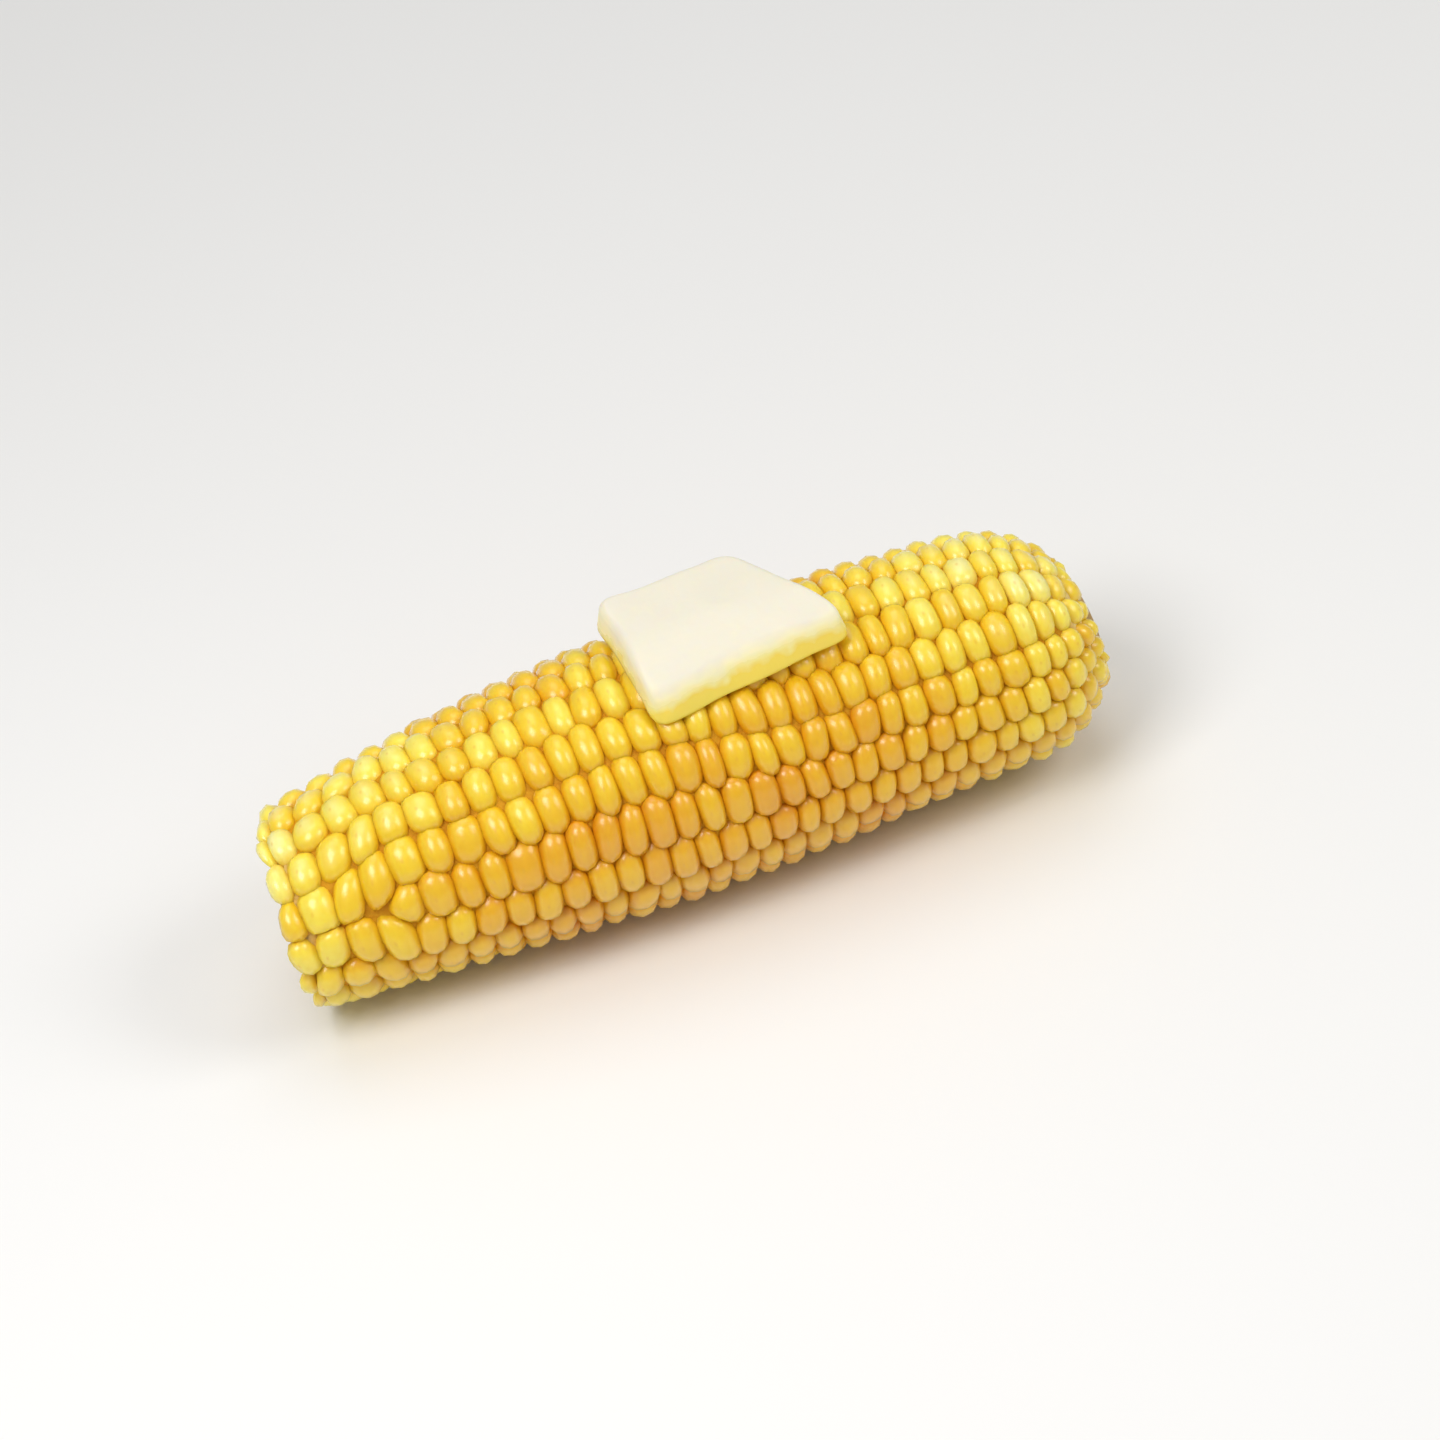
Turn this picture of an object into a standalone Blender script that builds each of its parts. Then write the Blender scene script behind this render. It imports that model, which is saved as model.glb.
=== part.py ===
# Corn on the cob with a pat of butter, in metres, +Z up.
#
# The ear lies along X, its tip end at -X and its stalk end at +X, and rests on Z = 0. It is three solids:
# the sleeve of kernels with a hole through it, the woody core in that hole, and the pat of butter on top.
# Places on the ear are given as u, the distance from the tip end along the axis, as s, the distance from it
# along the surface, and as an angle round the axis: 0 is level towards -Y and 90 degrees is straight up.

import math
import random

import bpy
import bmesh
import numpy as np

# Ear
EAR_LENGTH = 0.1558
BELLY_RADIUS = 0.0255
BELLY_AT = 0.077
TIP_TAPER = 0.26
TIP_TAPER_POWER = 1.55
TIP_ROUNDING = 0.0042
TIP_ROUNDING_SHARE = 0.18
TIP_ROUNDING_REACH = 0.94
STALK_TAPER = 0.125
STALK_TAPER_POWER = 1.2
SHOULDER_AT = 0.1372
SHOULDER_DEPTH = 0.0204
KERNEL_END_AT = 0.1554
TIP_DROOP = 0.0043
DROOP_FROM = 0.072
# Both ends are a little askew. Each slant moves the end towards the tip at its angle round the axis
TIP_SLANT = 0.25
TIP_SLANT_FROM = 0.060
TIP_SLANT_ANGLE = math.radians(36.0)
STALK_SLANT = 0.12
STALK_SLANT_FROM = 0.100
STALK_SLANT_ANGLE = math.radians(118.0)
REST_FLAT = 0.0009

# Rows of kernels
ROWS = 18
FIRST_ROW_ANGLE = math.radians(37.2)
TIP_TWIST = math.radians(6.0)
TIP_TWIST_TO = 0.043
STALK_TWIST = math.radians(-7.3)
STALK_TWIST_FROM = 0.057
STALK_TWIST_TO = 0.1055
# This row, and this many to either side of it, are broader than the rest, and narrower at the stalk
UNEVEN_ROW = 17
UNEVEN_REACH = 1.6
BROADENING = 0.15
CROWDING = 0.15
ROW_WOBBLE = math.radians(0.7)
WOBBLE_LENGTH = 0.045
ROW_WIDTH_SPREAD = 0.03
# A row that starts short of the tip end, by its number, and where its valleys part. Its neighbours make room
LATE_ROWS = {17: 0.0150, 8: 0.0235}
LATE_ROW_FIRST_WIDTH = 0.85
LATE_ROW_OPENING = 0.007
LATE_ROW_GROWTH = 0.015
# Its first cell is this many kernels long, and bare for this share of its length
LATE_ROW_FIRST_LENGTH = 1.66
LATE_ROW_GAP = 0.38
ROOM_BEFORE = 0.0080
ROOM_AFTER = 0.0090

# Kernels
KERNEL_PITCH = 0.0048
TIP_PITCH_EXTRA = 0.0009
TIP_PITCH_FADE = 0.030
PITCH_SPREAD = 0.07
ROW_DRIFT = 0.15
KERNEL_HEIGHT = 0.0023
HEIGHT_SPREAD = 0.00022
SHORTEST_KERNEL = 0.45
NEAREST_CORNERS = 0.0007
END_RAGGEDNESS = 0.0012
# The crown of a kernel is a point in a ring of six, placed by shares of the kernel's half length and width
CROWN_LENGTH = 0.44
CROWN_WIDTH = 0.70
END_LENGTH = 0.74
CROWN_DROP = 0.00085
END_DROP = 0.00055

# Core
CORE_TIP_RADIUS = 0.0098
CORE_BELLY_RADIUS = 0.0125
CORE_STALK_RADIUS = 0.0075
CORE_CLEARANCE = 0.0003
CORE_SIDES = 24
CORE_RINGS = 6
CORE_TIP_INSET = 0.0014
CORE_STALK_INSET = 0.0008
PITH_SHARE = 0.45
PITH_DEPTH = 0.0007

# Butter pat, placed from the middle of the ear
BUTTER_LEFT = -0.0080
BUTTER_LENGTH = 0.0404
BUTTER_NEAR_EDGE = -0.0156
BUTTER_FAR_EDGE = 0.0144
BUTTER_SKEW = 0.0144
BUTTER_LEFT_SLANT = 0.0018
BUTTER_NEAR_SLOPE = 0.0044
BUTTER_FAR_SLOPE = 0.0020
BUTTER_THICKNESS = 0.0056
BUTTER_CORNER = 0.0038
BUTTER_EDGE_ROUND = 0.0018
BUTTER_LEAN = 0.0010
BUTTER_FOOT_ROUND = 0.0008
BUTTER_NEAR_DROOP = 0.0046
BUTTER_CLEARANCE = 0.0004
BUTTER_SEAT_AT = 0.083
BUTTER_OUTER = 0.0045
BUTTER_INNER = 0.0105
CORNER_POINTS = 6
SIDE_POINTS = 4

SEED = 11
SAMPLES = 1200


def smoothstep(x):
    x = np.clip(x, 0.0, 1.0)
    return x * x * (3.0 - 2.0 * x)


def crown_radius(u):
    """Radius of the ear over the kernels' crowns: a belly, a taper to each end, and rounded ends."""
    to_tip = np.clip((BELLY_AT - u) / BELLY_AT, 0.0, 1.0)
    to_stalk = np.clip((u - BELLY_AT) / (SHOULDER_AT - BELLY_AT), 0.0, 1.0)
    taper = TIP_TAPER * to_tip**TIP_TAPER_POWER + STALK_TAPER * to_stalk**STALK_TAPER_POWER
    in_tip = TIP_ROUNDING_REACH * np.clip(1.0 - u / TIP_ROUNDING, 0.0, 1.0)
    tip_round = 1.0 - TIP_ROUNDING_SHARE * (1.0 - np.sqrt(1.0 - in_tip**2))
    over_shoulder = np.clip((u - SHOULDER_AT) / SHOULDER_DEPTH, 0.0, 1.0)
    return BELLY_RADIUS * (1.0 - taper) * tip_round * np.sqrt(1.0 - over_shoulder**2)


def ear_point(u, radius, angle):
    """A point of the ear, whose axis droops a little towards the tip and whose ends are a little askew."""
    droop = TIP_DROOP * max(0.0, 1.0 - u / DROOP_FROM) ** 2
    at_tip = max(0.0, 1.0 - u / TIP_SLANT_FROM) ** 2
    at_stalk = max(0.0, (u - STALK_SLANT_FROM) / (EAR_LENGTH - STALK_SLANT_FROM)) ** 2
    slant = TIP_SLANT * at_tip * math.cos(angle - TIP_SLANT_ANGLE)
    slant += STALK_SLANT * at_stalk * math.cos(angle - STALK_SLANT_ANGLE)
    x = u - slant * radius
    return (x, -radius * math.cos(angle), radius * math.sin(angle) - droop)


class Surface:
    """The crown surface, read by the distance s along it."""

    def __init__(self):
        self.u = np.linspace(0.0, KERNEL_END_AT, SAMPLES)
        self.r = crown_radius(self.u)
        step = np.hypot(np.diff(self.u), np.diff(self.r))
        self.s = np.concatenate([[0.0], np.cumsum(step)])
        self.length = self.s[-1]
        du = np.gradient(self.u, self.s)
        dr = np.gradient(self.r, self.s)
        size = np.hypot(du, dr)
        self.normal_u = -dr / size
        self.normal_r = du / size
        pitch = KERNEL_PITCH + TIP_PITCH_EXTRA * np.exp(-self.u / TIP_PITCH_FADE)
        per_step = np.diff(self.s) / ((pitch[1:] + pitch[:-1]) / 2.0)
        self.count = np.concatenate([[0.0], np.cumsum(per_step)])
        self.line_angles = self.lines()

    def lines(self):
        """Angle of each valley between two rows, all along the ear."""
        draw = random.Random(SEED)
        widths = np.ones((ROWS, SAMPLES))
        at_stalk = smoothstep((self.u - STALK_TWIST_FROM) / (STALK_TWIST_TO - STALK_TWIST_FROM))
        uneven = BROADENING - (BROADENING + CROWDING) * at_stalk
        for row in range(ROWS):
            widths[row] += draw.uniform(-ROW_WIDTH_SPREAD, ROW_WIDTH_SPREAD)
            apart = math.remainder(row - UNEVEN_ROW, ROWS) / UNEVEN_REACH
            widths[row] *= 1.0 + uneven * math.exp(-(apart**2))
        for row, start in LATE_ROWS.items():
            run = self.s - np.interp(start, self.u, self.s)
            own = LATE_ROW_FIRST_WIDTH * np.clip(run / LATE_ROW_OPENING, 0.0, 1.0)
            own += (1.0 - LATE_ROW_FIRST_WIDTH) * smoothstep(run / LATE_ROW_GROWTH)
            room = smoothstep((run + ROOM_BEFORE) / (ROOM_BEFORE + ROOM_AFTER))
            widths[row] *= own
            for beside in ((row - 1) % ROWS, (row + 1) % ROWS):
                widths[beside] += (room - own) / 2.0
        turn = 2.0 * math.pi
        edges = np.concatenate([np.zeros((1, SAMPLES)), np.cumsum(widths, axis=0)[:-1]])
        angles = turn * edges / widths.sum(axis=0)
        even = turn * np.arange(ROWS)[:, None] / ROWS
        angles -= (angles - even).mean(axis=0)
        twist = TIP_TWIST * (1.0 - smoothstep(self.u / TIP_TWIST_TO)) + STALK_TWIST * at_stalk
        angles += FIRST_ROW_ANGLE - math.pi / ROWS + twist
        for line in range(ROWS):
            wave = ROW_WOBBLE * np.sin(turn * self.s / WOBBLE_LENGTH + draw.uniform(0.0, turn))
            late = [row for row in LATE_ROWS if line in (row, (row + 1) % ROWS)]
            angles[line] += wave * (0.0 if late else 1.0)
        return angles

    def angle(self, line, s):
        whole = 2.0 * math.pi * (line // ROWS)
        return float(np.interp(s, self.s, self.line_angles[line % ROWS])) + whole

    def point(self, s, angle, height):
        """A point this high over the crown surface. A negative height is below it."""
        u = float(np.interp(s, self.s, self.u)) + height * float(np.interp(s, self.s, self.normal_u))
        r = float(np.interp(s, self.s, self.r)) + height * float(np.interp(s, self.s, self.normal_r))
        return ear_point(u, r, angle)


def kernel_bounds(surface, row, draw):
    """Where the kernels of a row meet, along the surface. Pairs of rows alternate by about half a kernel."""
    start = float(np.interp(LATE_ROWS.get(row, 0.0), surface.u, surface.s))
    phase = 0.5 * (row // 2 % 2) + draw.uniform(-ROW_DRIFT, ROW_DRIFT)
    first = float(np.interp(start, surface.s, surface.count))
    if row in LATE_ROWS:
        first += LATE_ROW_FIRST_LENGTH
        phase = first
    else:
        first += SHORTEST_KERNEL
    last = surface.count[-1] - SHORTEST_KERNEL
    bounds = [start]
    for number in range(math.ceil(first - phase), math.floor(last - phase) + 1):
        place = number + phase + draw.uniform(-PITCH_SPREAD, PITCH_SPREAD)
        bounds.append(float(np.interp(place, surface.count, surface.s)))
    return bounds + [surface.length]


def spaced(places, start, end):
    """The places in order from start to end, without any that lies too near the one before it."""
    kept = [start]
    for s in sorted(places):
        if s - kept[-1] > NEAREST_CORNERS and end - s > NEAREST_CORNERS:
            kept.append(s)
    return kept + [end]


def add_valley(surface, line, places, points):
    run = [(s, len(points) + index) for index, s in enumerate(places)]
    points.extend(surface.point(s, surface.angle(line, s), -KERNEL_HEIGHT) for s in places)
    return run


def add_valleys(surface, bounds, draw, points):
    """The valley below each row, as (s, vertex) along it, with a vertex where a kernel of either side ends.

    The two valleys beside a late row are one until the row starts.
    """
    runs = {}
    for row in LATE_ROWS:
        below, above = (row - 1) % ROWS, (row + 1) % ROWS
        start = bounds[row][0]
        before = [s for s in bounds[below] + bounds[above] if s < start]
        shared = add_valley(surface, row, spaced(before, draw.uniform(0.0, END_RAGGEDNESS), start), points)
        for line, beside in ((row, below), (above, above)):
            after = [s for s in bounds[beside] + bounds[row] if s > start]
            places = spaced(after, start, surface.length)[1:]
            runs[line] = shared + add_valley(surface, line, places, points)
    for line in range(ROWS):
        if line not in runs:
            places = bounds[(line - 1) % ROWS] + bounds[line]
            places = spaced(places, draw.uniform(0.0, END_RAGGEDNESS), surface.length)
            runs[line] = add_valley(surface, line, places, points)
    return runs


def stretch(run, start, end):
    """The part of a valley beside one kernel, between the vertices nearest to its ends."""
    first = min(range(len(run)), key=lambda index: abs(run[index][0] - start))
    last = min(range(len(run)), key=lambda index: abs(run[index][0] - end))
    return run[first : last + 1]


def bridge(outer, inner, faces):
    """Triangles between two closed loops of (bearing, vertex), both sorted by bearing."""
    turn = 2.0 * math.pi
    i = j = 0
    while i < len(outer) or j < len(inner):
        next_out = outer[(i + 1) % len(outer)][0] + turn * ((i + 1) // len(outer))
        next_in = inner[(j + 1) % len(inner)][0] + turn * ((j + 1) // len(inner))
        here_out, here_in = outer[i % len(outer)][1], inner[j % len(inner)][1]
        if j >= len(inner) or (i < len(outer) and next_out <= next_in):
            faces.append((here_out, outer[(i + 1) % len(outer)][1], here_in))
            i += 1
        else:
            faces.append((here_out, inner[(j + 1) % len(inner)][1], here_in))
            j += 1


def add_kernel(surface, row, start, end, gap, low, high, draw, points, faces):
    """One kernel: a rounded crown over the cell that its valleys leave, after a gap of this share of it."""
    low, high = stretch(low, start, end), stretch(high, start, end)
    start = max(start, min(low[0][0], high[0][0]))
    crown_start = start + gap * (end - start)
    middle, half = (crown_start + end) / 2.0, (end - crown_start) / 2.0
    lowest = (start - middle) / half
    outer = {}
    for side, run in ((-1.0, low), (1.0, high)):
        for s, vertex in run:
            along = max(lowest, min(1.0, (s - middle) / half))
            outer[vertex] = math.atan2(0.0 if vertex in outer else side, along)
    outer = sorted((bearing, vertex) for vertex, bearing in outer.items())
    lift = draw.uniform(-HEIGHT_SPREAD, HEIGHT_SPREAD)
    width = draw.uniform(0.96, 1.02)
    ring = [(side * END_LENGTH, 0.0, END_DROP) for side in (1.0, -1.0)]
    ring += [(x * CROWN_LENGTH, y * CROWN_WIDTH, CROWN_DROP) for x in (1.0, -1.0) for y in (1.0, -1.0)]
    inner = []
    for along, across, drop in ring + [(0.0, 0.0, 0.0)]:
        s = middle + along * half
        low_angle, high_angle = surface.angle(row, s), surface.angle(row + 1, s)
        angle = low_angle + (high_angle - low_angle) * (across * width + 1.0) / 2.0
        inner.append((math.atan2(across, along), len(points)))
        points.append(surface.point(s, angle, lift - drop))
    centre = inner.pop()[1]
    inner.sort()
    bridge(outer, inner, faces)
    for (_, one), (_, other) in zip(inner, inner[1:] + inner[:1]):
        faces.append((one, other, centre))


def core_radius(u):
    """Radius of the woody core, thickest under the belly."""
    to_tip = np.clip((BELLY_AT - u) / BELLY_AT, 0.0, 1.0)
    to_stalk = np.clip((u - BELLY_AT) / (EAR_LENGTH - BELLY_AT), 0.0, 1.0)
    thin = (CORE_BELLY_RADIUS - CORE_TIP_RADIUS) * to_tip**2
    return CORE_BELLY_RADIUS - thin - (CORE_BELLY_RADIUS - CORE_STALK_RADIUS) * to_stalk**2


def add_ring(u, radius, sides, points):
    """A circle of vertices round the ear's axis, as (bearing, vertex)."""
    ring = []
    for side in range(sides):
        bearing = -math.pi + 2.0 * math.pi * (side + 0.5) / sides
        ring.append((bearing, len(points)))
        points.append(ear_point(u, radius, bearing))
    return ring


def kernel_sleeve():
    """All the kernels in relief, closed down to the bore at both ends."""
    surface = Surface()
    draw = random.Random(SEED + 1)
    points, faces = [], []
    bounds = [kernel_bounds(surface, row, draw) for row in range(ROWS)]
    lines = add_valleys(surface, bounds, draw, points)
    for row in range(ROWS):
        low, high = lines[row], lines[(row + 1) % ROWS]
        for start, end in zip(bounds[row], bounds[row][1:]):
            gap = LATE_ROW_GAP if row in LATE_ROWS and start == bounds[row][0] else 0.0
            add_kernel(surface, row, start, end, gap, low, high, draw, points, faces)
    for end in (0, -1):
        rim = {}
        for line, run in lines.items():
            s, vertex = run[end]
            rim[vertex] = math.remainder(surface.angle(line, s), 2.0 * math.pi)
        rim = sorted((bearing, vertex) for vertex, bearing in rim.items())
        u = CORE_TIP_INSET if end == 0 else KERNEL_END_AT - KERNEL_HEIGHT
        rings = [add_ring(u, float(core_radius(u)) + CORE_CLEARANCE, CORE_SIDES, points)]
        bridge(rim, rings[0], faces)
        if end == 0:
            bore = rings[0]
        else:
            for step in range(1, CORE_RINGS):
                place = CORE_TIP_INSET + (u - CORE_TIP_INSET) * step / CORE_RINGS
                ring = add_ring(place, float(core_radius(place)) + CORE_CLEARANCE, CORE_SIDES, points)
                bridge(bore, ring, faces)
                bore = ring
            bridge(bore, rings[0], faces)
    return points, faces


def core():
    """The core, as long as the ear, with a shallow hollow of soft pith in each cut end."""
    points, faces = [], []
    tip, stalk = CORE_TIP_INSET, EAR_LENGTH - CORE_STALK_INSET
    places = [tip + (stalk - tip) * step / CORE_RINGS for step in range(CORE_RINGS + 1)]
    profile = [(tip + PITH_DEPTH, PITH_SHARE * float(core_radius(tip)))]
    profile += [(tip, PITH_SHARE * float(core_radius(tip)) + PITH_DEPTH)]
    profile += [(u, float(core_radius(u))) for u in places]
    profile += [(stalk, PITH_SHARE * float(core_radius(stalk)) + PITH_DEPTH)]
    profile += [(stalk - PITH_DEPTH, PITH_SHARE * float(core_radius(stalk)))]
    rings = [add_ring(u, radius, CORE_SIDES, points) for u, radius in profile]
    for one, other in zip(rings, rings[1:]):
        bridge(one, other, faces)
    for ring, u in ((rings[0], profile[0][0]), (rings[-1], profile[-1][0])):
        centre = len(points)
        points.append(ear_point(u, 0.0, 0.0))
        for (_, one), (_, other) in zip(ring, ring[1:] + ring[:1]):
            faces.append((one, other, centre))
    return points, faces


def toward(point, other, distance):
    """The point this far from one point towards another."""
    share = distance / math.dist(point, other)
    return tuple(a + (b - a) * share for a, b in zip(point, other))


def butter_outline():
    """The pat seen from above: a slab cut askew, with soft corners. Points go anticlockwise."""
    left = EAR_LENGTH / 2.0 + BUTTER_LEFT
    right = left + BUTTER_LENGTH
    corners = [
        (left, BUTTER_NEAR_EDGE),
        (right, BUTTER_NEAR_EDGE + BUTTER_NEAR_SLOPE),
        (right - BUTTER_SKEW, BUTTER_FAR_EDGE),
        (left - BUTTER_LEFT_SLANT, BUTTER_FAR_EDGE - BUTTER_FAR_SLOPE),
    ]
    outline = []
    for index, corner in enumerate(corners):
        following = corners[(index + 1) % len(corners)]
        start = toward(corner, corners[index - 1], BUTTER_CORNER)
        end = toward(corner, following, BUTTER_CORNER)
        for step in range(CORNER_POINTS):
            t = step / (CORNER_POINTS - 1)
            weights = ((1.0 - t) ** 2, 2.0 * t * (1.0 - t), t * t)
            outline.append(tuple(np.dot(weights, (start, corner, end)).tolist()))
        reach = toward(following, corner, BUTTER_CORNER)
        for step in range(1, SIDE_POINTS + 1):
            outline.append(toward(end, reach, math.dist(end, reach) * step / (SIDE_POINTS + 1)))
    return outline


def butter():
    """The slab of butter. Its underside keeps clear of the kernels, its sides have slumped out towards their
    foot, and its near edge has begun to droop."""
    outline = butter_outline()
    centre_x = sum(x for x, _ in outline) / len(outline)
    centre_y = sum(y for _, y in outline) / len(outline)
    seat = float(crown_radius(BUTTER_SEAT_AT)) + HEIGHT_SPREAD + BUTTER_CLEARANCE

    def droop(y):
        near = max(0.0, (centre_y - y) / (centre_y - BUTTER_NEAR_EDGE))
        return BUTTER_NEAR_DROOP * near**2

    def top(x, y):
        return seat + BUTTER_THICKNESS - droop(y)

    def under(x, y):
        over_kernels = float(crown_radius(x)) + HEIGHT_SPREAD + BUTTER_CLEARANCE
        kernels = math.sqrt(max(0.0, over_kernels**2 - y * y))
        return max(seat - droop(y), kernels)

    points, faces = [], []
    rings = []
    edge, lean, foot = BUTTER_EDGE_ROUND, BUTTER_LEAN, BUTTER_FOOT_ROUND
    # Each ring is drawn in from the outline and lies below the top, or above the underside, by these amounts
    flat = [(BUTTER_INNER, 0.0), (BUTTER_OUTER, 0.0)]
    over = flat + [(lean + edge, 0.0), (lean + 0.3 * edge, 0.3 * edge), (lean, edge)]
    below = [(0.0, foot), (0.3 * foot, 0.3 * foot), (foot, 0.0)] + flat[::-1]
    for side, steps in ((1.0, over), (-1.0, below)):
        for inset, rounding in steps:
            ring = []
            for x, y in outline:
                px, py = toward((x, y), (centre_x, centre_y), inset)
                height = top(px, py) if side > 0.0 else under(px, py)
                ring.append((math.atan2(y - centre_y, x - centre_x), len(points)))
                points.append((px, py, height - side * rounding))
            rings.append(sorted(ring))
    for one, other in zip(rings, rings[1:]):
        bridge(one, other, faces)
    for ring, height in ((rings[0], top(centre_x, centre_y)), (rings[-1], under(centre_x, centre_y))):
        centre = len(points)
        points.append((centre_x, centre_y, height))
        for (_, one), (_, other) in zip(ring, ring[1:] + ring[:1]):
            faces.append((one, other, centre))
    return points, faces


def material(name, colour, roughness):
    made = bpy.data.materials.new(name)
    made.use_nodes = True
    shader = made.node_tree.nodes["Principled BSDF"]
    shader.inputs["Base Color"].default_value = (*colour, 1.0)
    shader.inputs["Roughness"].default_value = roughness
    shader.inputs["Metallic"].default_value = 0.0
    return made


def add_object(name, points, faces, look, smooth_below):
    """A closed mesh with its faces turned out, smooth except at edges sharper than the angle."""
    mesh = bpy.data.meshes.new(name)
    mesh.from_pydata([tuple(point) for point in points], [], faces)
    work = bmesh.new()
    work.from_mesh(mesh)
    bmesh.ops.recalc_face_normals(work, faces=work.faces)
    work.to_mesh(mesh)
    work.free()
    mesh.materials.append(look)
    mesh.shade_smooth()
    mesh.set_sharp_from_angle(angle=smooth_below)
    obj = bpy.data.objects.new(name, mesh)
    bpy.context.scene.collection.objects.link(obj)
    return obj


def main():
    for obj in list(bpy.data.objects):
        bpy.data.objects.remove(obj)
    pieces = {"corn_kernels": kernel_sleeve(), "cob_core": core(), "butter_pat": butter()}
    looks = {
        "corn_kernels": material("cooked_kernel", (0.83, 0.47, 0.035), 0.30),
        "cob_core": material("woody_core", (0.78, 0.66, 0.40), 0.70),
        "butter_pat": material("butter", (0.90, 0.84, 0.62), 0.35),
    }
    corners = np.array([point for points, _ in pieces.values() for point in points])
    middle = (corners.min(axis=0) + corners.max(axis=0)) / 2.0
    floor = corners[:, 2].min() + REST_FLAT
    for name, (points, faces) in pieces.items():
        placed = np.array(points) - (middle[0], middle[1], floor)
        placed[:, 2] = np.maximum(placed[:, 2], 0.0)
        add_object(name, placed.tolist(), faces, looks[name], math.radians(50.0))


main()
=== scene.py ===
# Cooked ear of sweetcorn with a pat of butter, dressed for the camera. Metres, +Z up, the ear along X.

import math
import random

import bpy
import numpy as np
from mathutils import Matrix, Vector, noise
from mathutils.bvhtree import BVHTree


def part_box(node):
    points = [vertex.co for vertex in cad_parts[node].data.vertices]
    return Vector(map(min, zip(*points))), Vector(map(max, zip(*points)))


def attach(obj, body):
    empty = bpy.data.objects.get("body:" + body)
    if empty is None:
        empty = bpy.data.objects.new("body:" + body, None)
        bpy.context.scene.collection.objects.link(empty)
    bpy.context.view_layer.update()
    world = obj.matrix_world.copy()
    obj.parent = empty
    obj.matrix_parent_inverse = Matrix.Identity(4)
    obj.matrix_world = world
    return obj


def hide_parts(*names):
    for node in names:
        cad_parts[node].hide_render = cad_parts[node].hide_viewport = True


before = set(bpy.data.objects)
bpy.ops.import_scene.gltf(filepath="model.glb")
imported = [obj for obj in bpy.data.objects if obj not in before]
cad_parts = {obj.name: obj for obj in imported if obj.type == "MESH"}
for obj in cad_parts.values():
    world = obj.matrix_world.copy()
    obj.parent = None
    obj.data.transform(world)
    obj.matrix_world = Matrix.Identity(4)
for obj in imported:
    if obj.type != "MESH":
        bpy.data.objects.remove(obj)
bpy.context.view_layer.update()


# The cob
# The stem that the kernels grew on: a ring of hard pale wood round soft white pith. A knife has cut it
# across at both ends, which is all that shows of it.

# The ear is thickest at its belly, droops towards its tip, and is cut a little askew at both ends
EAR_LENGTH = 0.1558
BELLY_AT = 0.077
TIP_DROOP = 0.0043
DROOP_FROM = 0.072
TIP_SLANT = 0.25
TIP_SLANT_FROM = 0.060
TIP_SLANT_ANGLE = math.radians(36.0)
STALK_SLANT = 0.12
STALK_SLANT_FROM = 0.100
STALK_SLANT_ANGLE = math.radians(118.0)

CORE_TIP_RADIUS = 0.0098
CORE_BELLY_RADIUS = 0.0125
CORE_STALK_RADIUS = 0.0075
CORE_TIP_INSET = 0.0014
CORE_STALK_INSET = 0.0008
# The pith takes up this share of a cut end's radius, and its rim slopes over a narrow band
PITH_SHARE = 0.45
PITH_RIM = 0.16
PITH_DEPTH = 0.0007
CORE_SIDES = 96
CORE_LENGTH_RINGS = 12
CORE_FACE_RINGS = 14
# The knife has torn the fibres of the cut ends, all but their outer edge
FIBRE_DEPTH = 0.00016
FIBRE_SIZE = 0.0006
FIBRE_REACH = 0.97
PORE_SIZE = 0.0011
PORE_DEPTH = 0.0003
RING_WAVE = 0.12
RING_WAVE_SIZE = 0.0022
PITH_COLOUR = (0.88, 0.79, 0.54)

# The ear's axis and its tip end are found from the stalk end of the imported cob
CUT_END_DEPTH = 0.0015
cob_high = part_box("cob_core")[1]
core_points = [vertex.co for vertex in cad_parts["cob_core"].data.vertices]
cut_end = np.array([point for point in core_points if point.x > cob_high.x - CUT_END_DEPTH])
AXIS_Y, AXIS_Z = (cut_end[:, 1:].min(axis=0) + cut_end[:, 1:].max(axis=0)) / 2.0
stalk_cut = EAR_LENGTH - CORE_STALK_INSET
stalk_lean = STALK_SLANT * ((stalk_cut - STALK_SLANT_FROM) / (EAR_LENGTH - STALK_SLANT_FROM)) ** 2
TIP_X = cob_high.x - stalk_cut - stalk_lean * CORE_STALK_RADIUS


def ear_points(u, radius, angle):
    """Points of the ear: u along its axis from the tip end, the angle from the near side up over the top."""
    droop = TIP_DROOP * np.maximum(0.0, 1.0 - u / DROOP_FROM) ** 2
    at_tip = np.maximum(0.0, 1.0 - u / TIP_SLANT_FROM) ** 2
    at_stalk = np.maximum(0.0, (u - STALK_SLANT_FROM) / (EAR_LENGTH - STALK_SLANT_FROM)) ** 2
    slant = TIP_SLANT * at_tip * np.cos(angle - TIP_SLANT_ANGLE)
    slant = slant + STALK_SLANT * at_stalk * np.cos(angle - STALK_SLANT_ANGLE)
    x = TIP_X + u - slant * radius
    return np.stack([x, AXIS_Y - radius * np.cos(angle), AXIS_Z + radius * np.sin(angle) - droop], axis=-1)


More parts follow.
